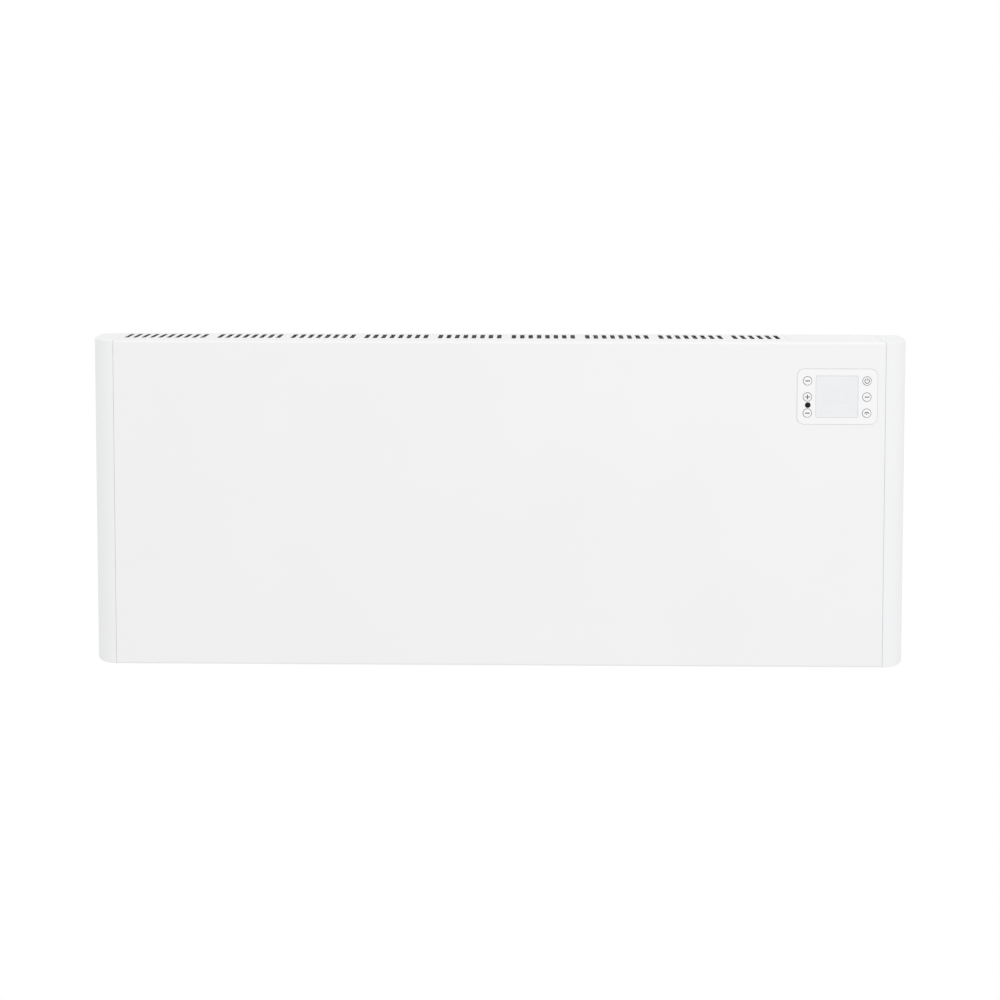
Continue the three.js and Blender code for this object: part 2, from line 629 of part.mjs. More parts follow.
// ---------- heating elements ----------
function finnedElement(z) {
  const span = [chamber[0] + ELEMENT_END_ROOM, chamber[1] - ELEMENT_END_ROOM];
  const finStep = (span[1] - span[0] + FIN_SPACE) / ELEMENT_FINS;
  const finLength = finStep - FIN_SPACE;
  const ends = [span[0] - ELEMENT_CORE_PAST, span[1] + ELEMENT_CORE_PAST];
  const pins = [chamber[0] - PLATE_T - ELEMENT_PIN_OUT, chamber[1] + PLATE_T + ELEMENT_PIN_OUT];
  const centre = [elementY, z];
  const core = join(
    rod("x", ELEMENT_CORE_R, ...ends, centre, 8),
    rod("x", ELEMENT_PIN_R, ...pins, centre, 8),
  );
  const blades = [];
  for (let i = 0; i < ELEMENT_FINS; i++) {
    const x = span[0] + i * finStep + finLength / 2;
    for (const lean of [-FIN_ANGLE, FIN_ANGLE]) {
      const blade = new THREE.BoxGeometry(finLength, 2 * FIN_HALF, FIN_T);
      blades.push(blade.rotateX(THREE.MathUtils.degToRad(lean)).translate(x, ...centre));
    }
  }
  return join(core, ...blades);
}

// A flanged insulating sleeve in a plate at x; the flange is on the side that faces the element.
function elementBush(x, z, faces) {
  const inFace = faces > 0 ? x + PLATE_T + TOUCH : x - TOUCH;
  const flangeEnd = inFace + faces * BUSH_FLANGE_T;
  const neckEnd = faces > 0 ? x - BUSH_NECK_OUT : x + PLATE_T + BUSH_NECK_OUT;
  const outline = [
    [BUSH_BORE_R, neckEnd],
    [BUSH_NECK_R, neckEnd],
    [BUSH_NECK_R, inFace],
    [BUSH_FLANGE_R, inFace],
    [BUSH_FLANGE_R, flangeEnd],
    [BUSH_BORE_R, flangeEnd],
  ];
  return turned("x", faces > 0 ? outline : outline.reverse(), [elementY, z], 12);
}

function buildElements() {
  for (const [level, z] of Object.entries(ELEMENT_Z)) {
    piece(`element_${level}`, "aluminium", finnedElement(z));
    piece(`element_${level}_bush_left`, "ceramic", elementBush(chamber[0] - PLATE_T, z, 1));
    piece(`element_${level}_bush_right`, "ceramic", elementBush(chamber[1], z, -1));
  }
}

function buildThermalCutout() {
  const { r, z, depth, h, flange, flangeT } = CUTOUT;
  const face = partitionX + PLATE_T + TOUCH;
  const end = face + h;
  const disc = joinedCore("x", [face - depth, end], [elementY, z], [
    [r, face - depth],
    [r, face],
    [flange, face],
    [flange, face + flangeT],
    [r, face + flangeT],
    [r, end],
  ]);
  const tabs = [-CUTOUT_TAB.dy, CUTOUT_TAB.dy].map((dy) =>
    block(
      [end - LAP, end + CUTOUT_TAB.l],
      [elementY + dy - CUTOUT_TAB.t / 2, elementY + dy + CUTOUT_TAB.t / 2],
      [z - CUTOUT_TAB.w / 2, z + CUTOUT_TAB.w / 2],
    ),
  );
  piece("thermal_cutout", "ceramic", join(disc, ...tabs));
}

// ---------- control panel ----------
const faceY = [-FASCIA_PROUD, FASCIA_FACE_T - FASCIA_PROUD];
const rimY = [SHEET + JOINT, SHEET + JOINT + FASCIA_RIM_T];
const housingPast = FASCIA_RIM - 1; // housing past the opening, inside the rim

function buildFascia() {
  const face = grown(fascia, -FASCIA_GAP);
  const rim = grown(fascia, FASCIA_RIM);
  const outer = grown(fascia, housingPast);
  const inner = grown(fascia, housingPast - FASCIA_WALL);
  const through = [-2 * OVER, faceY[1] + OVER];
  const shell = join(
    frontPlate(roundedRect(THREE.Shape, face), faceY),
    frontPlate(roundedRect(THREE.Shape, rim), rimY),
    frontPlate(roundedRect(THREE.Shape, outer), [rimY[0], FASCIA_DEPTH]),
  );
  const keyHoles = KEYS.map(([, column, row]) =>
    rod("y", KEY_R + KEY_GAP, ...through, keyPlace(column, row), 20),
  );
  piece(
    "control_fascia",
    "gloss_white",
    cut(
      shell,
      frontPlate(roundedRect(THREE.Shape, inner), [faceY[1], FASCIA_DEPTH + OVER]),
      frontPlate(roundedRect(THREE.Shape, grown(pane, WINDOW_GAP)), through, 2),
      rod("y", eye.r + EYE_GAP, ...through, [eye.x, eye.z], 16),
      ...keyHoles,
    ),
  );
}

function buildDisplay() {
  const paneY = [faceY[0] + WINDOW_SUNK, faceY[1] - TOUCH];
  piece("display_window", "display_glass", frontPlate(roundedRect(THREE.Shape, pane), paneY, 2));
  const module = grown(pane, LCD_PAST);
  const glassY = [faceY[1] + TOUCH, CONTROL_BOARD_Y - TOUCH];
  piece("lcd_module", "black_plastic", frontPlate(roundedRect(THREE.Shape, module), glassY, 2));
  const eyeY = [-KEY_PROUD, KEY_STEM_END];
  piece("receiver_window", "black_lens", rod("y", eye.r, ...eyeY, [eye.x, eye.z], 16));
}

function keyCap(x, z) {
  const flangeY = [faceY[1] + TOUCH, faceY[1] + TOUCH + KEY_FLANGE_T];
  return join(
    rod("y", KEY_R, -FASCIA_PROUD - KEY_PROUD, flangeY[1], [x, z], 20),
    rod("y", KEY_FLANGE_R, ...flangeY, [x, z], 20),
    rod("y", KEY_STEM_R, flangeY[0], KEY_STEM_END, [x, z], 8),
  );
}

function buildKeysAndBoard() {
  const plungerTop = KEY_STEM_END + KEY_TRAVEL + SWITCH_CLEARANCE;
  const boardY = [CONTROL_BOARD_Y, CONTROL_BOARD_Y + BOARD_T];
  // A block on the board, centred at x and z.
  const onBoard = (x, z, halfW, halfH, y) => block([x - halfW, x + halfW], y, [z - halfH, z + halfH]);
  const switches = [];
  for (const [name, column, row] of KEYS) {
    const [x, z] = keyPlace(column, row);
    const switchY = [plungerTop + KEY_SWITCH.plunger, boardY[0] + SUNK];
    piece(name, "gloss_white", keyCap(x, z));
    switches.push(
      onBoard(x, z, KEY_SWITCH.half, KEY_SWITCH.half, switchY),
      rod("y", KEY_SWITCH.plungerR, plungerTop, switchY[0] + LAP, [x, z], 8),
    );
  }
  const receiverY = [KEY_STEM_END + TOUCH, boardY[0] + SUNK];
  const receiver = onBoard(eye.x, eye.z, RECEIVER.halfW, RECEIVER.halfH, receiverY);
  const board = grown(fascia, housingPast - FASCIA_WALL - TOUCH);
  const [radioX, radioZ] = [fascia.x + RADIO.dx, fascia.z + RADIO.dz];
  const radioY = [boardY[1] - SUNK, boardY[1] + RADIO.t];
  const radio = onBoard(radioX, radioZ, RADIO.w / 2, RADIO.h / 2, radioY);
  piece(
    "control_board",
    "board_green",
    join(frontPlate(roundedRect(THREE.Shape, board), boardY, 3), ...switches, receiver, radio),
  );
}

// ---------- power electronics ----------
const powerBoard = { ...POWER_BOARD, x: panelEnd - POWER_BOARD.in, y: BODY_D - POWER_BOARD.back };
const terminalZ = powerBoard.z + TERMINAL.dz;
const terminalFace = powerBoard.y - TOUCH - TERMINAL.depth;
const clampX = (i) => powerBoard.x + TERMINAL.first + i * TERMINAL.pitch;

function buildPowerElectronics() {
  const { x, z, w, h, y } = powerBoard;
  const boardY = [y, y + BOARD_T];
  const corners = [-1, 1].flatMap((i) =>
    [-1, 1].map((k) => [x + i * (w / 2 - POST_INSET), z + k * (h / 2 - POST_INSET)]),
  );
  piece("power_board", "board_green", block([x - w / 2, x + w / 2], boardY, [z - h / 2, z + h / 2]));
  const trayY = [plateY[1] - PLATE_T - TOUCH - TRAY_T, plateY[1] - PLATE_T - TOUCH];
  const trayHalf = [w / 2 + TRAY_PAST.x, h / 2 + TRAY_PAST.z];
  const plate = block([x - trayHalf[0], x + trayHalf[0]], trayY, [z - trayHalf[1], z + trayHalf[1]]);
  const posts = corners.map((at) => rod("y", POST_R, boardY[1] + TOUCH, trayY[1], at, 10));
  piece("board_tray", "black_plastic", join(plate, ...posts));

  const face = y - TOUCH;
  const part = (name, finish, dx, dz, [sx, sy, sz]) =>
    piece(
      name,
      finish,
      block([x + dx - sx / 2, x + dx + sx / 2], [face - sy, face], [z + dz - sz / 2, z + dz + sz / 2]),
    );
  part("relay_lower", "blue_plastic", RELAY.dx, RELAY.dz.lower, RELAY.size);
  part("relay_upper", "blue_plastic", RELAY.dx, RELAY.dz.upper, RELAY.size);
  part("power_transformer", "black_plastic", TRANSFORMER.dx, TRANSFORMER.dz, TRANSFORMER.size);
  const can = [face - CAPACITOR.l, face];
  const canAt = [x + CAPACITOR.dx, z + CAPACITOR.dz];
  piece("smoothing_capacitor", "black_plastic", rod("y", CAPACITOR.r, ...can, canAt, 12));
  const half = { x: TERMINAL.pitch / 2, z: TERMINAL.h / 2 };
  const terminal = block(
    [clampX(0) - half.x, clampX(TERMINAL.count - 1) + half.x],
    [terminalFace, face],
    [terminalZ - half.z, terminalZ + half.z],
  );
  const wells = Array.from({ length: TERMINAL.count }, (_, i) =>
    rod("y", CLAMP.r, terminalFace - OVER, face - CLAMP.floor, [clampX(i), terminalZ], 8),
  );
  piece("terminal_block", "black_plastic", cut(terminal, ...wells));
}

// ---------- mains switch ----------
const rockerPivot = { x: capSide + SWITCH.bezelT - ROCKER.pivotIn, z: SWITCH.z };
const tabEnd = capSide + TOUCH - SWITCH.depth - SWITCH_TAB.l;

function buildSwitch() {
  const { z, w, h } = SWITCH;
  const y = switchY;
  const outside = capSide + TOUCH;
  const bodyY = [y - w / 2, y + w / 2];
  const bodyZ = [z - h / 2, z + h / 2];
  const bezelX = [outside, outside + SWITCH.bezelT];
  const body = block([outside - SWITCH.depth, outside + LAP], bodyY, bodyZ);
  const bezel = block(
    bezelX,
    [bodyY[0] - SWITCH.bezel, bodyY[1] + SWITCH.bezel],
    [bodyZ[0] - SWITCH.bezel, bodyZ[1] + SWITCH.bezel],
  );
  const tabs = [-SWITCH_TAB.dz, SWITCH_TAB.dz].map((dz) =>
    block(
      [tabEnd, outside - SWITCH.depth + LAP],
      [y - SWITCH_TAB.half, y + SWITCH_TAB.half],
      [z + dz - SWITCH_TAB.t / 2, z + dz + SWITCH_TAB.t / 2],
    ),
  );
  const wellY = [y - ROCKER.w / 2 - ROCKER_SIDE_GAP, y + ROCKER.w / 2 + ROCKER_SIDE_GAP];
  const wellHalf = ROCKER.half + ROCKER_WELL_GAP;
  const wellFloor = rockerPivot.x - ROCKER.root - ROCKER_WELL_GAP;
  const well = block([wellFloor, bezelX[1] + OVER], wellY, [z - wellHalf, z + wellHalf]);
  const across = [bodyY[0] - OVER, bodyY[1] + OVER];
  const pinHole = rod("y", PIN_R + PIN_RUN_GAP, ...across, [rockerPivot.x, z], 12);
  piece("power_switch_housing", "black_plastic", cut(join(body, bezel, ...tabs), well, pinHole));
  const pinEnds = [bodyY[0] + PIN_SHORT, bodyY[1] - PIN_SHORT];
  piece("rocker_pin", "zinc_steel", rod("y", PIN_R, ...pinEnds, [rockerPivot.x, z], 12));
}

function buildRocker() {
  const { half, w, reach, root, dish } = ROCKER;
  const [foot, crest] = [half * ROCKER_TAPER.root, half * ROCKER_TAPER.crest];
  const shoulder = reach * ROCKER_TAPER.shoulder;
  const side = new THREE.Shape();
  side.moveTo(-root, -foot);
  side.lineTo(shoulder, -half);
  side.lineTo(reach, -crest);
  side.quadraticCurveTo(reach - 2 * dish, 0, reach, crest);
  side.lineTo(shoulder, half);
  side.lineTo(-root, foot);
  side.closePath();
  const lever = frontPlate(side, [-w / 2, w / 2], 8);
  const bore = rod("y", PIN_R + PIN_RUN_GAP, -w, w, [0, 0], 12);
  const tilt = THREE.MathUtils.degToRad(-ROCKER_TILT);
  const tilted = cut(lever, bore).rotateY(tilt);
  piece("power_rocker", "black_plastic", tilted.translate(rockerPivot.x, switchY, rockerPivot.z));
}

// ---------- cable entry, sensor and inner wiring ----------
function buildGland() {
  const outFace = BODY_D + TOUCH;
  const inFace = backInside - TOUCH;
  const sleeve = turned(
    "y",
    [
      [GLAND.bore, inFace - GLAND.inside],
      [GLAND.neck, inFace - GLAND.inside],
      [GLAND.neck, outFace],
      [GLAND.flange, outFace],
      [GLAND.flange, outFace + GLAND.flangeT],
      [GLAND.neck, outFace + GLAND.out],
      [GLAND.bore, outFace + GLAND.out],
    ],
    [glandX, GLAND.z],
    16,
  );
  piece("cable_gland", "black_plastic", sleeve);
}

function buildRoomSensor() {
  const { w, d, t } = SENSOR_FOOT;
  const { r, bulbR, bulbL } = SENSOR_STEM;
  const [x, y] = [panelEnd - SENSOR.in, BODY_D - SENSOR.back];
  const low = SHEET + TOUCH;
  const foot = block([x - w / 2, x + w / 2], [y - d / 2, y + d / 2], [low, low + t]);
  const stem = rod("z", r, low + LAP, SENSOR.top - LAP, [x, y], 8);
  const bulb = rod("z", bulbR, SENSOR.top - bulbL, SENSOR.top, [x, y], 8);
  piece("room_sensor", "black_plastic", join(foot, stem, bulb));
}

// A wire of round section along a smooth route, leaving and reaching its ends straight.
function wire([from, fromWay], route, [to, toWay]) {
  const at = (point, way, by) => new THREE.Vector3(...point).addScaledVector(new THREE.Vector3(...way), by);
  const points = [
    at(from, fromWay, TOUCH),
    at(from, fromWay, WIRE_LEAD),
    ...route.map((p) => new THREE.Vector3(...p)),
    at(to, toWay, WIRE_LEAD),
    at(to, toWay, TOUCH),
  ];
  const extrudePath = new THREE.CatmullRomCurve3(points);
  return new THREE.ExtrudeGeometry(polygon(WIRE_R, 6), { steps: WIRE_STEPS, extrudePath });
}

function buildWiring() {
  const [right, left, front, back] = [[1, 0, 0], [-1, 0, 0], [0, -1, 0], [0, 1, 0]];
  const pin = (z) => [chamber[1] + PLATE_T + ELEMENT_PIN_OUT, elementY, z];
  const tab = (side) => [tabEnd, switchY, SWITCH.z + side * SWITCH_TAB.dz];
  const clamp = (i) => [clampX(i), terminalFace, terminalZ];
  const fromPartition = (points) => points.map((p) => [partitionX + p.past, BODY_D - p.back, p.z]);
  const fromEnd = (points) => points.map((p) => [panelEnd - p.in, BODY_D - p.back, p.z]);
  const { lower, upper } = ELEMENT_Z;
  const runs = [
    ["lower_element", "red_wire", pin(lower), right, fromPartition(LOWER_LEAD), clamp(0), front],
    ["upper_element", "red_wire", pin(upper), right, fromPartition(UPPER_LEAD), clamp(1), front],
    ["switch_live", "red_wire", tab(1), left, fromEnd(LIVE_LEAD), clamp(2), front],
    ["switch_neutral", "blue_wire", tab(-1), left, fromEnd(NEUTRAL_LEAD), clamp(3), front],
  ];
  for (const [name, finish, from, fromWay, route, to, toWay] of runs) {
    piece(`wire_${name}`, finish, wire([from, fromWay], route, [to, toWay]));
  }
  const { top, middle, foot } = CABLE;
  const fromBoard = [fascia.x + top.dx, CONTROL_BOARD_Y + BOARD_T, fascia.z + top.dz];
  const toBoard = [powerBoard.x + foot.dx, powerBoard.y, powerBoard.z + foot.dz];
  const between = [fascia.x + middle.dx, middle.y, (fromBoard[2] + toBoard[2]) / 2];
  piece("display_cable", "black_plastic", wire([fromBoard, back], [between], [toBoard, front]));
}

// ---------- fasteners ----------
function panScrew(axis, head, end, at) {
  const way = Math.sign(end - head);
  const under = head + way * SCREW_HEAD_H;
  const span = (a, b) => [Math.min(a, b), Math.max(a, b)];
  return join(
    rod(axis, SCREW_HEAD_R, ...span(head, under), at, 12),
    rod(axis, SCREW_R, ...span(under - way * LAP, end), at, 10),
  );
}

function buildScrews() {
  const head = endPlateX - TOUCH - SCREW_HEAD_H;
  const names = ["lower", "upper"];
  capScrewHeights.forEach((z, i) => {
    const screw = panScrew("x", head, capStart + CAP_SCREW_L, [capScrewY, z]);
    piece(`cap_screw_right_${names[i]}`, "zinc_steel", screw);
    piece(`cap_screw_left_${names[i]}`, "zinc_steel", mirrored(screw));
  });
  for (const [name, side] of [["left", -1], ["right", 1]]) {
    const top = BODY_D + TOUCH + SPACER.wall + TOUCH + SCREW_HEAD_H;
    piece(
      `spacer_screw_${name}`,
      "zinc_steel",
      panScrew("y", top, backInside - SPACER_SCREW_IN, [side * spacerX, SPACER.z]),
    );
  }
}

// ---------- wall side ----------
function buildSpacers() {
  const { z, w, h, wall } = SPACER;
  const y = [BODY_D + TOUCH, BODY_D + WALL_GAP];
  for (const [name, side] of [["left", -1], ["right", 1]]) {
    const cx = side * spacerX;
    const cup = block([cx - w / 2, cx + w / 2], y, [z - h / 2, z + h / 2]);
    const hollow = block(
      [cx - w / 2 + wall, cx + w / 2 - wall],
      [y[0] + wall, y[1] + OVER],
      [z - h / 2 + wall, z + h / 2 - wall],
    );
    const hole = rod("y", SCREW_HOLE_R, y[0] - OVER, y[0] + wall + OVER, [cx, z], 12);
    piece(`lower_spacer_${name}`, "white_plastic", cut(cup, hollow, hole));
  }
}

// The rail is placed on the wall, so it is outside the heater's own group.
function buildRail() {
  const half = RAIL_H / 2;
  const section = outlineOf([
    [0, -half],
    [0, half],
    [-RAIL_ARM, half],
    [-RAIL_ARM, half - RAIL_T],
    [-RAIL_T, half - RAIL_T],
    [-RAIL_T, -half + RAIL_T],
    [-RAIL_ARM, -half + RAIL_T],
    [-RAIL_ARM, -half],
  ]);
  const fingerBack = -(WALL_GAP + BACK_SHEET + HOOK_BEHIND);
  const fingerY = [fingerBack - RAIL_T, fingerBack];
  const hooks = [-1, 1].flatMap((side) => {
    const x = [side * HOOK_X - HOOK_W / 2, side * HOOK_X + HOOK_W / 2];
    return [
      block(x, [fingerY[0], -RAIL_T], [half - RAIL_T, half]),
      block(x, fingerY, [half - RAIL_T, half + HOOK_RISE]),
    ];
  });
  const holes = RAIL_HOLES_X.map((x) => rod("y", RAIL_HOLE_R, -RAIL_T - OVER, OVER, [x, 0], 12));
  const rail = join(alongX(section, [-RAIL_L / 2, RAIL_L / 2]), ...hooks);
  piece("wall_rail", "zinc_steel", cut(rail, ...holes), assembly);
}

buildFrontPanel();
buildGrilles();
buildControlLid();
buildBackPanel();
buildEndCaps();
buildPlates();
buildHeatShield();
buildElements();
buildThermalCutout();
buildFascia();
buildDisplay();
buildKeysAndBoard();
buildPowerElectronics();
buildSwitch();
buildRocker();
buildGland();
buildRoomSensor();
buildWiring();
buildScrews();
buildSpacers();
buildRail();

export default assembly;
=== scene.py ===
"""Looks of a wall panel convector heater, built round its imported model.

Sizes in the classes are in millimetres, from the middle of the casing's lower front edge:
X to the viewer's right, Y into the casing and Z up. A piece is made at that scale and then
placed in the part's own frame, in metres.
"""

from __future__ import annotations

import logging
import math
from collections.abc import Iterable, Sequence
from dataclasses import dataclass, field
from enum import Enum
from itertools import product

import bmesh
import bpy
from mathutils import Matrix, Vector


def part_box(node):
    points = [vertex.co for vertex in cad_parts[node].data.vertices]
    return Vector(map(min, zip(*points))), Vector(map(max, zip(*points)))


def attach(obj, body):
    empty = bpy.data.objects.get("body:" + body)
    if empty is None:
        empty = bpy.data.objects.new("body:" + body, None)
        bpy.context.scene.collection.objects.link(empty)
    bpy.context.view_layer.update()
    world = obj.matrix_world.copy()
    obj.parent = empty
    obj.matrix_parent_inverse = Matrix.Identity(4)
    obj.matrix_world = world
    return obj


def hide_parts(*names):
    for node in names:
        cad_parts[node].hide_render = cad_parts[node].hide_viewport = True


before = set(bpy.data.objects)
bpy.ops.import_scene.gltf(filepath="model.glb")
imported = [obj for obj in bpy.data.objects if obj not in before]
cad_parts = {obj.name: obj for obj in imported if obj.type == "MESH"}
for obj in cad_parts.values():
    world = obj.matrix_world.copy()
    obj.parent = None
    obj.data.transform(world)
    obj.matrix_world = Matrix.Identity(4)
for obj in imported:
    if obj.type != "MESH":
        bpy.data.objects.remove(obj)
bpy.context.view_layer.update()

LOG = logging.getLogger("heater")
MM = 0.001  # a millimetre in metres
PAST = 1.0  # how far a cutting tool runs past what it cuts
WHOLE_RING = (0, 359.9)  # a ring's turn, a hair short so that its ends don't meet; used for a printed mark and for the painted shade round a key
DOME_TURN = (0, 84)  # a dome's arc, short of its pole
SEAM_MISS = 0.01  # an edge this near to a seam lies on it
SMOOTH_BELOW = 40.0  # degrees between faces that are shaded as one surface
FLAT_WEIGHT = 100  # how far large flat faces rule the shading
MIDDLE_RANGE = (0.3, 0.7)  # the part of a 0 to 1 value that is stretched over a whole effect
SOFT_SPECULAR = 0.45

Point2 = tuple[float, float]
Span = tuple[float, float]
Triple = tuple[float, float, float]
Outline = list[Point2]
Socket = bpy.types.NodeSocket


# ---------------------------------------------------------------------------
# Outlines, in millimetres
# ---------------------------------------------------------------------------


def arc(centre: Point2, radius: Point2, turn: Span, steps: int) -> Outline:
    """Points along an elliptical arc, both ends included.

    Args:
        centre: The arc's centre.
        radius: Its two semi-axes.
        turn: First and last angle, in degrees.
        steps: Number of straight steps.

    Returns:
        The points, steps + 1 of them.
    """
    angles = (math.radians(turn[0] + (turn[1] - turn[0]) * i / steps) for i in range(steps + 1))
    return [(centre[0] + radius[0] * math.cos(a), centre[1] + radius[1] * math.sin(a)) for a in angles]


def rounded_rectangle(centre: Point2, size: Point2, radius: float, steps: int) -> Outline:
    """A rectangle with round corners.

    Args:
        centre: Its middle.
        size: Its width and height.
        radius: The corners' radius.
        steps: Straight steps in each corner.

    Returns:
        The closed outline's points.
    """
    (u, v), (w, h) = centre, size
    half_w, half_h = w / 2 - radius, h / 2 - radius
    points: Outline = []
    for side_u, side_v, start in [(1, 1, 0), (-1, 1, 90), (-1, -1, 180), (1, -1, 270)]:
        middle = (u + side_u * half_w, v + side_v * half_h)
        points += arc(middle, (radius, radius), (start, start + 90), steps)
    return points


def round_slot(u: float, span: Span, width: float, steps: int = 10) -> Outline:
    """A long slot with half-round ends, running along the second axis.

    Args:
        u: The slot's middle on the first axis.
        span: Its two ends on the second axis.
        width: Its width.
        steps: Straight steps in each end.

    Returns:
        The closed outline's points.
    """
    r = width / 2
    low = arc((u, span[0] + r), (r, r), (180, 360), steps)
    high = arc((u, span[1] - r), (r, r), (0, 180), steps)
    return low + high


def disc(centre: Point2, radius: float, steps: int) -> Outline:
    """A circle's points, without its first one repeated."""
    return arc(centre, (radius, radius), (0, 360 - 360 / steps), steps - 1)


def rectangle(low: Point2, high: Point2) -> Outline:
    """A rectangle's four corners."""
    return [low, (high[0], low[1]), high, (low[0], high[1])]


def band(centre: Point2, radius: float, width: float, turn: Span, steps: int) -> Outline:
    """A strip bent along an arc.

    Args:
        centre: The arc's centre.
        radius: The strip's middle radius.
        width: The strip's width.
        turn: First and last angle, in degrees.
        steps: Straight steps along it.

    Returns:
        The closed outline's points.
    """
    outer, inner = radius + width / 2, radius - width / 2
    there = arc(centre, (outer, outer), turn, steps)
    back = arc(centre, (inner, inner), (turn[1], turn[0]), steps)
    return there + back


def whole_turn(steps: int) -> list[float]:
    """Even angles round a whole turn, in radians."""
    return [2 * math.pi * i / steps for i in range(steps)]


# ---------------------------------------------------------------------------
# Meshes
# ---------------------------------------------------------------------------


class Axis(Enum):
    """The direction that an outline is run along, or that a turned piece turns about."""

    X = "x"
    Y = "y"
    Z = "z"

    def place(self, u: float, v: float, along: float) -> Vector:
        """A point from its place across the axis and its station along it."""
        if self is Axis.X:
            return Vector((along, u, v))
        if self is Axis.Y:
            return Vector((u, along, v))
        return Vector((u, v, along))

    def around(self, centre: Point2, radius: float, turn: float, along: float) -> Vector:
        """A point on a circle round the axis, from its angle in radians."""
        return self.place(centre[0] + radius * math.cos(turn), centre[1] + radius * math.sin(turn), along)


class Draft:
    """A mesh in the making, in millimetres."""

    def __init__(self) -> None:
        """Starts with nothing in it."""
        self.mesh = bmesh.new()

    def prism(self, outline: Sequence[Point2], axis: Axis, span: Span) -> Draft:
        """Adds an outline run along an axis.

        Args:
            outline: The closed outline.
            axis: The axis it runs along.
            span: Where it starts and ends.

        Returns:
            The draft itself.
        """
        rings = [[self.mesh.verts.new(axis.place(u, v, end)) for u, v in outline] for end in span]
        for i in range(len(outline)):
            j = (i + 1) % len(outline)
            self.mesh.faces.new((rings[0][i], rings[0][j], rings[1][j], rings[1][i]))
        for ring in rings:
            self.mesh.faces.new(ring)
        return self

    def block(self, x: Span, y: Span, z: Span) -> Draft:
        """Adds a block given by its span on each axis."""
        return self.prism(rectangle((x[0], y[0]), (x[1], y[1])), Axis.Z, z)

    def turned(self, profile: Sequence[Point2], axis: Axis, centre: Point2, steps: int) -> Draft:
        """Adds a ring-shaped piece turned from a closed profile.

        Args:
            profile: Closed outline of (radius, station) points, clear of the axis.
            axis: The axis it turns about.
            centre: Where the axis lies.
            steps: Straight steps round it.

        Returns:
            The draft itself.
        """
        new, count = self.mesh.verts.new, len(profile)
        rings = [[new(axis.around(centre, r, turn, s)) for r, s in profile] for turn in whole_turn(steps)]
        for i, ring in enumerate(rings):
            following = rings[(i + 1) % steps]
            for k in range(count):
                m = (k + 1) % count
                self.mesh.faces.new((ring[k], ring[m], following[m], following[k]))
        return self

    def domed(self, profile: Sequence[Point2], axis: Axis, centre: Point2, steps: int) -> Draft:
        """Adds a solid turned piece.

        Args:
            profile: Open outline of (radius, station) points from one end's rim to the other's.
            axis: The axis it turns about.
            centre: Where the axis lies.
            steps: Straight steps round it.

        Returns:
            The draft itself.
        """
        new = self.mesh.verts.new
        rings = [[new(axis.around(centre, r, turn, s)) for turn in whole_turn(steps)] for r, s in profile]
        for ring, following in zip(rings, rings[1:]):
            for i in range(steps):
                j = (i + 1) % steps
                self.mesh.faces.new((ring[i], ring[j], following[j], following[i]))
        self.mesh.faces.new(rings[0])
        self.mesh.faces.new(rings[-1])
        return self

    def mirrored(self) -> Draft:
        """Turns everything so far left for right."""
        bmesh.ops.scale(self.mesh, vec=(-1, 1, 1), verts=self.mesh.verts)
        return self

    def turn_about(self, centre: Vector, degrees: float, axis: Axis) -> Draft:
        """Turns everything so far about a point.

        Args:
            centre: The point.
            degrees: How far, by the right-hand rule.
            axis: The axis it turns about.

        Returns:
            The draft itself.
        """
        matrix = Matrix.Rotation(math.radians(degrees), 3, axis.value.upper())
        bmesh.ops.rotate(self.mesh, cent=centre, matrix=matrix, verts=self.mesh.verts)
        return self

    def to_object(self, name: str) -> bpy.types.Object:
        """Ends the draft as an object in the scene, still in millimetres.

        Args:
            name: The object's name.

        Returns:
            The object.
        """
        bmesh.ops.recalc_face_normals(self.mesh, faces=self.mesh.faces)
        data = bpy.data.meshes.new(name)
        self.mesh.to_mesh(data)
        self.mesh.free()
        made = bpy.data.objects.new(name, data)
        bpy.context.scene.collection.objects.link(made)
        return made


@dataclass(frozen=True)
class Edge:
    """How a piece's sharp edges are eased."""

    width: float = 0.25
    segments: int = 2
    angle: float = 35.0
    seam: float | None = None  # the distance from the middle at which edges stay nearly sharp
    seam_share: float = 0.2


# ---------------------------------------------------------------------------
# Finishes
# ---------------------------------------------------------------------------


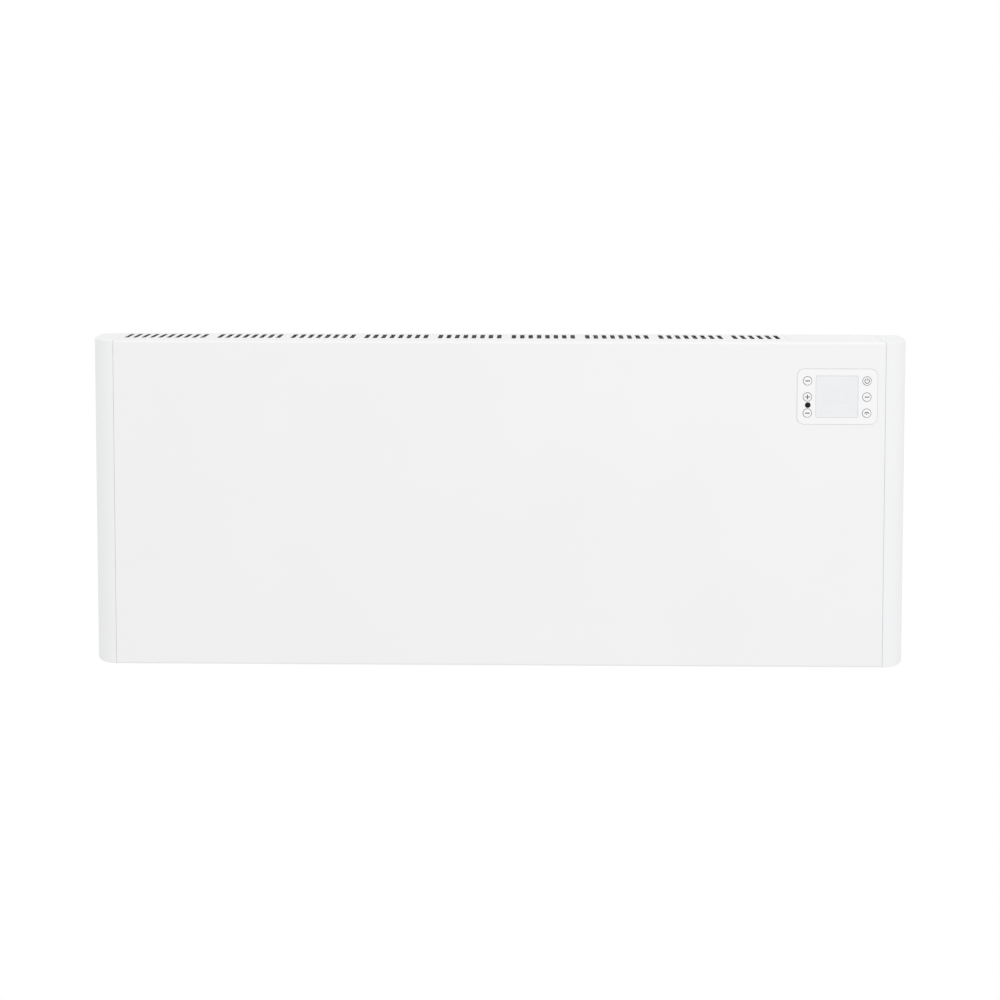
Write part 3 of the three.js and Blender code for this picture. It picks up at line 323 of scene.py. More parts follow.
class Graph:
    """A material's nodes, round one Principled shader."""

    def __init__(self, name: str) -> None:
        """Starts a material.

        Args:
            name: The material's name.
        """
        self.material = bpy.data.materials.new(name)
        self.material.use_nodes = True
        self.tree = self.material.node_tree
        self.shader = self.tree.nodes["Principled BSDF"]
        self.places = self.add("ShaderNodeTexCoord").outputs["Object"]

    def add(self, kind: str) -> bpy.types.Node:
        """Adds a node, by Blender's name of its type."""
        return self.tree.nodes.new(kind)

    def link(self, source: Socket, target: Socket) -> None:
        """Joins two sockets."""
        self.tree.links.new(source, target)

    def set(self, **values: object) -> None:
        """Sets the shader's own sockets; an underscore stands for a space."""
        for key, value in values.items():
            self.shader.inputs[key.replace("_", " ")].default_value = value

    def stretched(self, scale: Triple) -> Socket:
        """The object's own places, scaled on each axis.

        Args:
            scale: The scale on X, Y and Z.

        Returns:
            The scaled places.
        """
        node = self.add("ShaderNodeMapping")
        node.inputs["Scale"].default_value = scale
        self.link(self.places, node.inputs["Vector"])
        return node.outputs["Vector"]

    def noise(self, scale: float, detail: float = 2.0, places: Socket | None = None) -> Socket:
        """Smooth noise.

        Args:
            scale: Features to the metre.
            detail: Octaves of finer noise.
            places: Where it is read, the object's own places by default.

        Returns:
            A value from 0 to 1.
        """
        node = self.add("ShaderNodeTexNoise")
        node.inputs["Scale"].default_value = scale
        node.inputs["Detail"].default_value = detail
        self.link(places or self.places, node.inputs["Vector"])
        return node.outputs["Fac"]

    def cells(self, scale: float) -> Socket:
        """Crystal-like cells.

        Args:
            scale: Cells to the metre.

        Returns:
            A colour that differs from cell to cell.
        """
        node = self.add("ShaderNodeTexVoronoi")
        node.inputs["Scale"].default_value = scale
        self.link(self.places, node.inputs["Vector"])
        return node.outputs["Color"]

    def blend(self, value: Socket, first: Triple, second: Triple) -> None:
        """Colours the shader between two colours.

        Args:
            value: A value from 0 to 1.
            first: The colour at its low end.
            second: The colour at its high end.
        """
        ramp = self.add("ShaderNodeValToRGB")
        for stop, position, colour in zip(ramp.color_ramp.elements, MIDDLE_RANGE, (first, second)):
            stop.position = position
            stop.color = (*colour, 1)
        self.link(value, ramp.inputs["Fac"])
        self.link(ramp.outputs["Color"], self.shader.inputs["Base Color"])

    def rough(self, value: Socket, ends: Span) -> None:
        """Varies the shader's roughness.

        Args:
            value: A value from 0 to 1.
            ends: The roughness at its low end and at its high end.
        """
        node = self.add("ShaderNodeMapRange")
        for name, number in zip(("From Min", "From Max", "To Min", "To Max"), (*MIDDLE_RANGE, *ends)):
            node.inputs[name].default_value = number
        self.link(value, node.inputs["Value"])
        self.link(node.outputs["Result"], self.shader.inputs["Roughness"])

    def relief(self, height: Socket, depth_mm: float) -> None:
        """Gives the surface a fine relief.

        Args:
            height: The relief, from 0 to 1.
            depth_mm: Its depth in millimetres.
        """
        bump = self.add("ShaderNodeBump")
        bump.inputs["Distance"].default_value = depth_mm * MM
        bump.inputs["Strength"].default_value = 1.0
        self.link(height, bump.inputs["Height"])
        self.link(bump.outputs["Normal"], self.shader.inputs["Normal"])


def shade(colour: Triple, by: float) -> Triple:
    """A colour made lighter or darker by a factor."""
    return (colour[0] * by, colour[1] * by, colour[2] * by)


@dataclass(frozen=True)
class Finish:
    """A surface finish, made as a material the first time it is used."""

    name: str
    slot: str
    colour: Triple

    def material(self) -> bpy.types.Material:
        """The finish's material."""
        known = bpy.data.materials.get(self.name)
        if known is not None:
            return known
        graph = Graph(self.name)
        self.paint(graph)
        return graph.material

    def tones(self, graph: Graph, value: Socket, shares: Span) -> None:
        """Colours a material between two shares of the finish's own colour."""
        graph.blend(value, shade(self.colour, shares[0]), shade(self.colour, shares[1]))

    def paint(self, graph: Graph) -> None:
        """Sets up the nodes.

        Args:
            graph: The material's nodes.
        """
        raise NotImplementedError


@dataclass(frozen=True)
class PowderCoat(Finish):
    """Baked paint with a faint orange peel."""

    clouds: float = 7.0
    shares: Span = (0.992, 1.004)
    patches: float = 45.0
    gloss: Span = (0.39, 0.46)
    peel: float = 620.0
    peel_mm: float = 0.012

    def paint(self, graph: Graph) -> None:
        """Sets up cloudy tone, uneven gloss and the peel."""
        self.tones(graph, graph.noise(self.clouds, detail=3), self.shares)
        graph.rough(graph.noise(self.patches, detail=3), self.gloss)
        graph.relief(graph.noise(self.peel, detail=1.5), self.peel_mm)
        graph.set(Specular_IOR_Level=SOFT_SPECULAR)


@dataclass(frozen=True)
class Moulded(Finish):
    """Moulded plastic, with the fine texture of its tool."""

    gloss: Span = (0.33, 0.39)
    patches: float = 70.0
    grains: float = 1500.0
    grain_mm: float = 0.006
    flow: float = 0.01
    flow_marks: float = 9.0
    flow_run: Triple = (1.0, 1.0, 0.35)

    def paint(self, graph: Graph) -> None:
        """Sets up flow marks, uneven gloss and the tool's texture."""
        marks = graph.noise(self.flow_marks, places=graph.stretched(self.flow_run))
        self.tones(graph, marks, (1 - self.flow, 1 + self.flow / 2))
        graph.rough(graph.noise(self.patches), self.gloss)
        graph.relief(graph.noise(self.grains), self.grain_mm)
        graph.set(Specular_IOR_Level=SOFT_SPECULAR)


@dataclass(frozen=True)
class Pane(Finish):
    """A glossy hard-coated window."""

    clouds: float = 22.0
    shares: Span = (0.985, 1.01)
    patches: float = 160.0
    gloss: Span = (0.09, 0.13)
    waves: float = 90.0
    wave_mm: float = 0.004
    coat: float = 0.6
    coat_roughness: float = 0.04
    specular: float = 0.5

    def paint(self, graph: Graph) -> None:
        """Sets up a faint unevenness under a clear coat."""
        self.tones(graph, graph.noise(self.clouds), self.shares)
        graph.rough(graph.noise(self.patches), self.gloss)
        graph.relief(graph.noise(self.waves, detail=1), self.wave_mm)
        graph.set(Coat_Weight=self.coat, Coat_Roughness=self.coat_roughness, Specular_IOR_Level=self.specular)


@dataclass(frozen=True)
class Galvanised(Finish):
    """Zinc-coated sheet with its spangle."""

    spangle: float = 190.0
    shares: Span = (0.95, 1.02)
    gloss: Span = (0.38, 0.46)
    scratches: float = 900.0
    scratch_run: Triple = (0.2, 1.0, 1.0)
    scratch_mm: float = 0.006
    metal: float = 0.92

    def paint(self, graph: Graph) -> None:
        """Sets up crystals that differ in tone and gloss, and faint scratches."""
        crystals = graph.add("ShaderNodeSeparateColor")
        graph.link(graph.cells(self.spangle), crystals.inputs["Color"])
        self.tones(graph, crystals.outputs["Red"], self.shares)
        graph.rough(crystals.outputs["Green"], self.gloss)
        scratches = graph.noise(self.scratches, detail=3, places=graph.stretched(self.scratch_run))
        graph.relief(scratches, self.scratch_mm)
        graph.set(Metallic=self.metal)


@dataclass(frozen=True)
class BareMetal(Finish):
    """Rolled, pressed or plated metal with marks along its run."""

    gloss: Span = (0.29, 0.42)
    patches: float = 60.0
    run: Triple = (0.06, 1.0, 1.0)
    marks: float = 700.0
    mark_mm: float = 0.008
    shares: Span = (0.9, 1.05)

    def paint(self, graph: Graph) -> None:
        """Sets up rolling marks in tone, gloss and relief."""
        marks = graph.noise(self.marks, detail=4, places=graph.stretched(self.run))
        self.tones(graph, marks, self.shares)
        graph.rough(graph.noise(self.patches, detail=3), self.gloss)
        graph.relief(marks, self.mark_mm)
        graph.set(Metallic=1.0)


@dataclass(frozen=True)
class Grainy(Finish):
    """A dull surface with specks, uneven gloss and a grainy relief."""

    specks: float = 1400.0
    shares: Span = (0.86, 1.05)
    patches: float = 300.0
    gloss: Span = (0.7, 0.85)
    grains: float = 1100.0
    grain_detail: float = 3.0
    grain_mm: float = 0.02
    sheen: float = 0.0

    def paint(self, graph: Graph) -> None:
        """Sets up specks, dusty patches and the grain."""
        self.tones(graph, graph.noise(self.specks), self.shares)
        graph.rough(graph.noise(self.patches), self.gloss)
        graph.relief(graph.noise(self.grains, self.grain_detail), self.grain_mm)
        graph.set(Sheen_Weight=self.sheen)


@dataclass(frozen=True)
class Sleeve(Grainy):
    """Silicone insulation, soft and slightly uneven."""

    specks: float = 260.0
    shares: Span = (0.85, 1.1)
    patches: float = 500.0
    gloss: Span = (0.5, 0.65)
    grains: float = 1800.0
    grain_detail: float = 2.0
    grain_mm: float = 0.01
    sheen: float = 0.15


@dataclass(frozen=True)
class BoardLacquer(Finish):
    """Solder mask with tracks showing through it."""

    track: Triple = (0.06, 0.22, 0.11)
    tracks: float = 260.0
    track_gap: float = 0.03
    track_run: Triple = (1.0, 1.0, 1.7)
    track_mm: float = 0.03
    patches: float = 120.0
    gloss: Span = (0.35, 0.5)

    def paint(self, graph: Graph) -> None:
        """Sets up raised tracks and a satin lacquer."""
        tracks = graph.add("ShaderNodeTexBrick")
        tracks.inputs["Scale"].default_value = self.tracks
        tracks.inputs["Mortar Size"].default_value = self.track_gap
        graph.link(graph.stretched(self.track_run), tracks.inputs["Vector"])
        graph.blend(tracks.outputs["Fac"], self.colour, self.track)
        graph.rough(graph.noise(self.patches), self.gloss)
        graph.relief(tracks.outputs["Fac"], self.track_mm)


@dataclass(frozen=True)
class Ink(Finish):
    """Pad-printed ink, matt and slightly broken."""

    breaks: float = 3000.0
    shares: Span = (0.8, 1.2)
    patches: float = 900.0
    gloss: Span = (0.5, 0.62)

    def paint(self, graph: Graph) -> None:
        """Sets up a fine unevenness in the print."""
        self.tones(graph, graph.noise(self.breaks), self.shares)
        graph.rough(graph.noise(self.patches), self.gloss)


WHITE_PAINT = PowderCoat("white_powder_coat", "white_paint", (0.886, 0.886, 0.886))
CAP_PLASTIC = Moulded("cap_plastic", "white_plastic", (0.88, 0.884, 0.892))
FASCIA_PLASTIC = Moulded(
    "fascia_plastic", "gloss_white", (0.912, 0.912, 0.912), gloss=(0.21, 0.27), grains=900.0, grain_mm=0.002,
    flow=0.004,
)
DISPLAY_PANE = Pane("display_pane", "display_glass", (0.844, 0.855, 0.872))
DARK_LENS = Pane("dark_lens", "black_lens", (0.004, 0.004, 0.005), gloss=(0.12, 0.16), coat=0.0, specular=0.2)
ZINC_SHEET = Galvanised("galvanised_sheet", "galvanised", (0.63, 0.64, 0.655))
PRESSED_ALUMINIUM = BareMetal("pressed_aluminium", "aluminium", (0.74, 0.745, 0.75))
ZINC_PLATE = BareMetal(
    "zinc_plate", "zinc_steel", (0.66, 0.67, 0.69), gloss=(0.25, 0.38), run=(0.1, 1.0, 1.0), marks=500.0
)
BUSH_CERAMIC = Grainy("bush_ceramic", "ceramic", (0.8, 0.76, 0.68))
BOARD_GREEN = BoardLacquer("board_lacquer", "board_green", (0.02, 0.11, 0.05))
BLACK_PLASTIC = Moulded(
    "black_moulding", "black_plastic", (0.022, 0.022, 0.024), gloss=(0.39, 0.45), grains=1300.0, grain_mm=0.02,
    flow=0.15,
)
RELAY_BLUE = Moulded(
    "relay_moulding", "blue_plastic", (0.05, 0.15, 0.4), gloss=(0.27, 0.33), grains=900.0, grain_mm=0.004,
    flow=0.05,
)
RED_SLEEVE = Sleeve("red_sleeve", "red_wire", (0.35, 0.05, 0.03))
BLUE_SLEEVE = Sleeve("blue_sleeve", "blue_wire", (0.03, 0.09, 0.35))
# Dark ink for the keys' printed signs; it also paints the shade in the gap round each key.
SIGN_AND_GAP_SHADE_INK = Ink("sign_and_gap_shade_ink", "black_plastic", (0.075, 0.075, 0.08))
GHOST_INK = Ink("ghost_segments", "display_glass", (0.82, 0.832, 0.85))
MARK_INK = Ink("switch_mark", "white_plastic", (0.75, 0.75, 0.75))


# ---------------------------------------------------------------------------
# Workshop: turns drafts into finished pieces of the object
# ---------------------------------------------------------------------------


@dataclass
class Workshop:
    """Makes, dresses and places pieces, and says which body each one moves with."""

    body: str = "heater"
    casing: str = "front_panel"
    made: list[str] = field(default_factory=list)

    def origin(self) -> Vector:
        """The middle of the casing's lower front edge, in the part's frame, in metres."""
        low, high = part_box(self.casing)
        return Vector(((low.x + high.x) / 2, low.y, low.z))

    def span(self, node: str) -> tuple[Vector, Vector]:
        """A CAD node's lowest and highest corner in millimetres from the origin.

        Args:
            node: The node's name.

        Returns:
            The two corners.
        """
        low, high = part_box(node)
        return (low - self.origin()) / MM, (high - self.origin()) / MM

    def settle(self, obj: bpy.types.Object) -> None:
        """Turns an object's modifiers into plain mesh."""
        bpy.context.view_layer.update()
        seen = obj.evaluated_get(bpy.context.evaluated_depsgraph_get())
        data = bpy.data.meshes.new_from_object(seen)
        obj.modifiers.clear()
        old = obj.data
        obj.data = data
        bpy.data.meshes.remove(old)

    def carve(self, obj: bpy.types.Object, tool: Draft, join: bool = False) -> None:
        """Cuts a tool out of an object, or joins it on.

        Args:
            obj: The object.
            tool: What is cut out or joined on.
            join: Whether it is joined on.
        """
        cutter = tool.to_object("tool")
        modifier = obj.modifiers.new("carve", "BOOLEAN")
        modifier.operation = "UNION" if join else "DIFFERENCE"
        modifier.solver = "EXACT"
        modifier.object = cutter
        self.settle(obj)
        bpy.data.objects.remove(cutter)

    def make(
        self,
        name: str,
        draft: Draft,
        finish: Finish,
        *,
        cuts: Iterable[Draft] = (),
        joins: Iterable[Draft] = (),
        edge: Edge | None = None,
        replaces: Sequence[str] = (),
        body: str | None = None,
    ) -> None:
        """Makes a finished piece.

        Args:
            name: The piece's name.
            draft: Its mesh.
            finish: Its finish.
            cuts: Drafts that are cut out of it.
            joins: Drafts that are joined to it before the cuts.
            edge: How its sharp edges are eased, if they are.
            replaces: The CAD nodes that it stands for.
            body: The body it moves with, the heater by default.
        """
        obj = draft.to_object(name)
        for extra in joins:
            self.carve(obj, extra, join=True)
        for tool in cuts:
            self.carve(obj, tool)
        self.ease(obj, edge)
        obj.data.transform(Matrix.Translation(self.origin()) @ Matrix.Scale(MM, 4))
        obj.data.materials.clear()
        obj.data.materials.append(finish.material())
        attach(obj, body or self.body)
        if replaces:
            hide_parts(*replaces)
        self.made.append(name)
        LOG.info("made %s: %d faces, %s", name, len(obj.data.polygons), finish.name)

    def bevel(self, obj: bpy.types.Object, edge: Edge, unit: float) -> bpy.types.Modifier:
        """Adds a bevel to an object's sharp edges.

        Args:
            obj: The object.
            edge: How its edges are eased.
            unit: A millimetre in the object's own unit.

        Returns:
            The bevel.
        """
        bevel = obj.modifiers.new("edge", "BEVEL")
        bevel.width = edge.width * unit
        bevel.segments = edge.segments
        bevel.limit_method = "ANGLE"
        bevel.angle_limit = math.radians(edge.angle)
        return bevel

    def ease(self, obj: bpy.types.Object, edge: Edge | None) -> None:
        """Eases an object's sharp edges and smooths the rest.

        Args:
            obj: The object, in millimetres.
            edge: How its edges are eased, if they are.
        """
        if edge is not None:
            bevel = self.bevel(obj, edge, 1.0)
            bevel.use_clamp_overlap = False
            if edge.seam is not None:
                self.weigh(obj, edge)
                bevel.limit_method = "WEIGHT"
            self.settle(obj)
        obj.data.shade_smooth()
        obj.data.set_sharp_from_angle(angle=math.radians(SMOOTH_BELOW))
        flatten = obj.modifiers.new("flats", "WEIGHTED_NORMAL")
        flatten.keep_sharp = True
        flatten.weight = FLAT_WEIGHT
        self.settle(obj)

    def weigh(self, obj: bpy.types.Object, edge: Edge) -> None:
        """Weighs an object's sharp edges, so that those along its seam are eased less.

        Args:
            obj: The object, in millimetres.
            edge: How its edges are eased.
        """
        mesh = bmesh.new()
        mesh.from_mesh(obj.data)
        weights = mesh.edges.layers.float.new("bevel_weight_edge")
        for line in mesh.edges:
            if len(line.link_faces) != 2 or line.calc_face_angle() < math.radians(edge.angle):
                continue
            at_seam = all(abs(abs(vertex.co.x) - edge.seam) < SEAM_MISS for vertex in line.verts)
            line[weights] = edge.seam_share if at_seam else 1.0
        mesh.to_mesh(obj.data)
        mesh.free()

    def dress(self, node: str, finish: Finish, edge: Edge | None = None) -> None:
        """Gives a CAD node its finish, and eased edges.

        Args:
            node: The node's name.
            finish: Its finish.
            edge: How its edges are eased, if they are.
        """
        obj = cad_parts[node]
        if not obj.data.materials:
            obj.data.materials.append(None)
        for place in obj.material_slots:
            place.material = finish.material()
        if edge is not None:
            self.bevel(obj, edge, MM).harden_normals = True
        LOG.info("dressed %s: %s", node, finish.name)


@dataclass(frozen=True)
class PanScrew:
    """A cross-recess pan-head screw whose head faces backwards, along Y."""

    head_radius: float = 3.6
    head_height: float = 2.2
    crown: float = 1.1
    recess_radius: float = 1.9
    recess_width: float = 0.75
    recess_depth: float = 1.2

    def head(self, centre: Point2, seat: float) -> Draft:
        """The head, with its rim and crown.

        Args:
            centre: Where its axis lies, in X and Z.
            seat: The depth of the head's underside.

        Returns:
            The head's draft.
        """
        rim = seat + (self.head_height - self.crown)
        crown = arc((0.0, rim), (self.head_radius, self.crown), DOME_TURN, 8)
        return Draft().domed([(self.head_radius, seat), *crown], Axis.Y, centre, 32)

    def recess(self, centre: Point2, seat: float) -> list[Draft]:
        """The cross recess, to be cut out of the head.

        Args:
            centre: Where its axis lies, in X and Z.
            seat: The depth of the head's underside.

        Returns:
            The two bars of the cross.
        """
        span = (seat + (self.head_height - self.recess_depth), seat + (self.head_height + PAST / 2))
        (u, v), long, short = centre, self.recess_radius, self.recess_width / 2
        bars = [(long, short), (short, long)]
        return [Draft().prism(rectangle((u - a, v - b), (u + a, v + b)), Axis.Y, span) for a, b in bars]


# ---------------------------------------------------------------------------
# Casing
# ---------------------------------------------------------------------------


@dataclass
class Casing:
    """The painted sheets: front, top, bottom, lid; and the galvanised back."""

    shop: Workshop
    height: float = 402.0
    depth: float = 88.0
    sheet: float = 0.8
    bend: float = 3.0
    top_lip: float = 11.0
    bottom_lip: float = 14.0
    joint: float = 0.4
    fascia_middle: Point2 = (413.55, 335.55)
    fascia_size: Point2 = (98.0, 68.3)
    fascia_radius: float = 9.0
    grille_fold: float = 1.6
    outlet_groups: tuple[int, ...] = (10, 8, 8, 8, 8, 8, 8, 8, 6)
    outlet_first: float = -464.0
    outlet_pitch: float = 10.5
    outlet_steps: Point2 = (21.0, 18.3)
    outlet_width: float = 5.6
    outlet_span: Span = (36.0, 81.0)
    lid_inset: Point2 = (7.0, 3.0)
    lid_skirt: float = 1.6
    lid_face: float = 2.0
    inlet_count: int = 30
    inlet_inset: float = 24.0
    inlet_width: float = 9.0
    inlet_span: Span = (26.0, 76.0)
    rear_count: int = 26
    rear_width: float = 6.0
    rear_span: Span = (70.0, 108.0)
    rear_inset: float = 30.0
    partition: float = 360.8
    hook_middle: float = 200.0
    hook_half: float = 19.0
    hook_span: Span = (276.3, 295.3)
    hook_corner: float = 1.5
    spacer_at: Point2 = (392.0, 46.0)
    spacer_hole: float = 2.4
    gland_at: Point2 = (428.0, 24.0)
    gland_hole: float = 7.4
    bead_heights: tuple[float, ...] = (150.0, 210.0, 335.0)
    bead_ends: Span = (-430.0, 440.0)
    bead_break: float = 230.0
    bead_radius: float = 5.0
    bead_depth: float = 0.45
    screw: PanScrew = PanScrew(2.9, 1.5, 0.9, 1.5, 0.6, 0.9)
    screw_inset: float = 6.5
    screw_heights: tuple[float, ...] = (16.0, 128.0, 245.0, 384.0)

    def build(self) -> None:
        """Builds every sheet."""
        self.front_panel()
        self.top_grille()
        self.control_lid()
        self.bottom_grille()
        self.back_panel()
        self.back_screws()

    @property
    def half(self) -> float:
        """Half the front panel's width."""
        return self.shop.span("front_panel")[1].x

    def front_section(self) -> Outline:
        """The folded sheet's section, in depth and height."""
        outer, inner, b, top = self.bend, self.bend - self.sheet, self.bend, self.height
        return [
            (self.bottom_lip, 0),
            (self.bottom_lip, self.sheet),
            *arc((b, b), (inner, inner), (270, 180), 12),
            *arc((b, top - b), (inner, inner), (180, 90), 12),
            (self.top_lip, top - self.sheet),
            (self.top_lip, top),
            *arc((b, top - b), (outer, outer), (90, 180), 12),
            *arc((b, b), (outer, outer), (180, 270), 12),
        ]

    def front_panel(self) -> None:
        """The folded front, with the opening for the controls."""
        opening = rounded_rectangle(self.fascia_middle, self.fascia_size, self.fascia_radius, 16)
        self.shop.make(
            "front_panel_sheet",
            Draft().prism(self.front_section(), Axis.X, (-self.half, self.half)),
            WHITE_PAINT,
            cuts=[Draft().prism(opening, Axis.Y, (-2 * PAST, self.sheet + PAST))],
            edge=Edge(0.2),
            replaces=["front_panel"],
        )

    def outlet_centres(self) -> list[float]:
        """The top slots' middles, left to right."""
        centres: list[float] = []
        x = self.outlet_first
        for index, count in enumerate(self.outlet_groups):
            centres += [x + i * self.outlet_pitch for i in range(count)]
            x += (count - 1) * self.outlet_pitch + self.outlet_steps[min(index, 1)]
        return centres

    def slotted(self, centres: Iterable[float], span: Span, width: float, z: Span) -> Draft:
        """Slots to be cut out of a level sheet.

        Args:
            centres: The slots' middles.
            span: Where they start and end in depth.
            width: Their width.
            z: The heights between which they cut.

        Returns:
            All of them as one draft.
        """
        tool = Draft()
        for x in centres:
            tool.prism(round_slot(x, span, width), Axis.Z, z)
        return tool

    def top_grille(self) -> None:
        """The slotted sheet over the heating chamber, with its folded front lip."""
        low, high = self.shop.span("top_grille")
        top, fold, inner = self.height, self.grille_fold, self.grille_fold - self.sheet
        section = [
            (low.y, low.z),
            (low.y + self.sheet, low.z),
            *arc((low.y + fold, top - fold), (inner, inner), (180, 90), 8),
            (high.y, top - self.sheet),
            (high.y, top),
            *arc((low.y + fold, top - fold), (fold, fold), (90, 180), 8),
        ]
        through = (top - 3 * PAST, top + PAST)
        self.shop.make(
            "top_grille_sheet",
            Draft().prism(section, Axis.X, (low.x, high.x)),
            WHITE_PAINT,
            cuts=[self.slotted(self.outlet_centres(), self.outlet_span, self.outlet_width, through)],
            edge=Edge(0.22, 3),
            replaces=["top_grille"],
        )

    def control_lid(self) -> None:
        """The plain lid over the controls, with its skirt."""
        low, high = self.shop.span("control_lid")
        inset, skirt, thick = self.lid_inset, self.lid_skirt, self.lid_face
        outer_x = (low.x + inset[0], high.x - inset[0])
        outer_y = (low.y + inset[1], high.y - inset[1])
        hollow = Draft().block(
            (outer_x[0] + skirt, outer_x[1] - skirt),
            (outer_y[0] + skirt, outer_y[1] - skirt),
            (low.z - PAST, self.height - thick),
        )
        self.shop.make(
            "control_lid_moulding",
            Draft().block((low.x, high.x), (low.y, high.y), (self.height - thick, self.height)),
            WHITE_PAINT,
            joins=[Draft().block(outer_x, outer_y, (low.z, self.height - thick / 2))],
            cuts=[hollow],
            edge=Edge(0.35, 3),
            replaces=["control_lid"],
        )

    def bottom_grille(self) -> None:
        """The slotted intake sheet under the heating chamber."""
        low, high = self.shop.span("bottom_grille")
        outlet_end = self.shop.span("top_grille")[1].x
        pitch = (outlet_end + self.half - 2 * self.inlet_inset) / (self.inlet_count - 1)
        centres = [self.inlet_inset - self.half + i * pitch for i in range(self.inlet_count)]
        through = (low.z - PAST, high.z + PAST)
        self.shop.make(
            "bottom_grille_sheet",
            Draft().block((low.x, high.x), (low.y, high.y), (low.z, high.z)),
            WHITE_PAINT,
            cuts=[self.slotted(centres, self.inlet_span, self.inlet_width, through)],
            edge=Edge(0.2),
            replaces=["bottom_grille"],
        )

    def back_panel(self) -> None:
        """The back sheet, with its intake slots, hook slots, screw and cord holes, and beads."""
        face = self.depth
        through = (face - self.sheet - PAST, face + PAST)
        step = (self.partition + self.half - 2 * self.rear_inset) / (self.rear_count - 1)
        holes = Draft()
        for i in range(self.rear_count):
            x = self.rear_inset - self.half + i * step
            holes.prism(round_slot(x, self.rear_span, self.rear_width), Axis.Y, through)
        low, high = self.hook_span
        slot_size = (2 * self.hook_half, high - low)
        for side in (-1, 1):
            slot_middle = (side * self.hook_middle, (low + high) / 2)
            window = rounded_rectangle(slot_middle, slot_size, self.hook_corner, 6)
            screw_at = (side * self.spacer_at[0], self.spacer_at[1])
            holes.prism(window, Axis.Y, through)
            holes.prism(disc(screw_at, self.spacer_hole, 24), Axis.Y, through)
        holes.prism(disc(self.gland_at, self.gland_hole, 40), Axis.Y, through)
        self.shop.make(
            "back_panel_sheet",
            Draft().block((-self.half, self.half), (face - self.sheet, face), (0, self.height)),
            ZINC_SHEET,
            cuts=[holes, self.beads()],
            edge=Edge(0.15),
            replaces=["back_panel"],
        )

    def beads(self) -> Draft:
        """Long pressed beads that stiffen the back sheet, as round-bottomed grooves."""
        tool = Draft()
        r, ends, gap = self.bead_radius, self.bead_ends, self.bead_break
        for z in self.bead_heights:
            centre_y = self.depth + r - self.bead_depth
            stretches = [ends]
            if self.hook_span[0] < z < self.hook_span[1]:
                stretches = [(ends[0], -gap), (gap, ends[1])]
            for stretch in stretches:
                tool.prism(disc((centre_y, z), r, 48), Axis.X, stretch)
        return tool

    def back_screws(self) -> None:
        """Small screws that hold the back sheet to the inner plates."""
        inset = self.screw_inset
        columns = (-self.half + inset, self.partition + inset, self.half - inset)
        for index, at in enumerate(product(columns, self.screw_heights), 1):
            self.shop.make(
                f"back_screw_{index:02d}",
                self.screw.head(at, self.depth),
                ZINC_PLATE,
                cuts=self.screw.recess(at, self.depth),
            )


# ---------------------------------------------------------------------------
# End caps
# ---------------------------------------------------------------------------


@dataclass
class EndCaps:
    """The two moulded end caps, with the switch's opening in the right one."""

    shop: Workshop
    wall: float = 2.5
    front_depth: float = 50.0
    back_radius: float = 8.0
    boss_radius: float = 4.0
    boss_bore: float = 2.2
    boss_depth: float = 74.0
    boss_inset: float = 34.0
    boss_start: float = 0.3
    switch_middle: Point2 = (69.0, 62.0)
    switch_hole: Point2 = (13.6, 20.0)
    switch_corner: float = 0.5

    def build(self) -> None:
        """Builds both caps."""
        self.cap("left_end_cap", "left_cap_moulding", [], mirror=True)
        outside = self.shop.span("right_end_cap")[1].x
        hole = rounded_rectangle(self.switch_middle, self.switch_hole, self.switch_corner, 4)
        opening = Draft().prism(hole, Axis.X, (outside - self.wall - PAST, outside + PAST))
        self.cap("right_end_cap", "right_cap_moulding", [opening], mirror=False)

    def outline(self, inset: float) -> Outline:
        """The right cap seen from above, set in from its outside.

        Args:
            inset: How far it is set in.

        Returns:
            The closed outline in X and depth.
        """
        low, high = self.shop.span("right_end_cap")
        start = low.x - (PAST if inset else 0)
        side, front, back = high.x - inset, low.y + inset, high.y - inset
        corner = self.back_radius - inset
        sweep = arc((low.x, self.front_depth), (side - low.x, self.front_depth - front), (-90, 0), 40)
        rear = arc((side - corner, back - corner), (corner, corner), (0, 90), 12)
        return [(start, back), (start, front), *sweep, *rear]

    def posts(self, radius: float, ends: Span, steps: int) -> list[Draft]:
        """Round posts where the cap's two screws go.

        Args:
            radius: Their radius.
            ends: Where they start and end in X.
            steps: Straight steps round each.

        Returns:
            The lower and the upper one.
        """
        heights = (self.boss_inset, Casing.height - self.boss_inset)
        return [Draft().prism(disc((self.boss_depth, z), radius, steps), Axis.X, ends) for z in heights]

    def cap(self, node: str, name: str, openings: list[Draft], mirror: bool) -> None:
        """Builds one cap.

        Args:
            node: The CAD node it stands for.
            name: The piece's name.
            openings: What else is cut out of it.
            mirror: Whether it is the left one.
        """
        low, high = self.shop.span("right_end_cap")
        ends = (low.x + self.boss_start, high.x - self.wall / 2)
        hollow_span = (low.z + self.wall, high.z - self.wall)
        obj = Draft().prism(self.outline(0.0), Axis.Z, (low.z, high.z)).to_object("cap")
        self.shop.carve(obj, Draft().prism(self.outline(self.wall), Axis.Z, hollow_span))
        for boss in self.posts(self.boss_radius, ends, 32):
            self.shop.carve(obj, boss, join=True)
        for tool in [*self.posts(self.boss_bore, (ends[0] - PAST, ends[1] - self.wall), 24), *openings]:
            self.shop.carve(obj, tool)
        draft = Draft()
        draft.mesh.from_mesh(obj.data)
        bpy.data.objects.remove(obj)
        if mirror:
            draft.mirrored()
        edge = Edge(width=1.1, segments=4, angle=50, seam=low.x, seam_share=0.15)
        self.shop.make(name, draft, CAP_PLASTIC, edge=edge, replaces=[node])


# ---------------------------------------------------------------------------
# Control panel
# ---------------------------------------------------------------------------


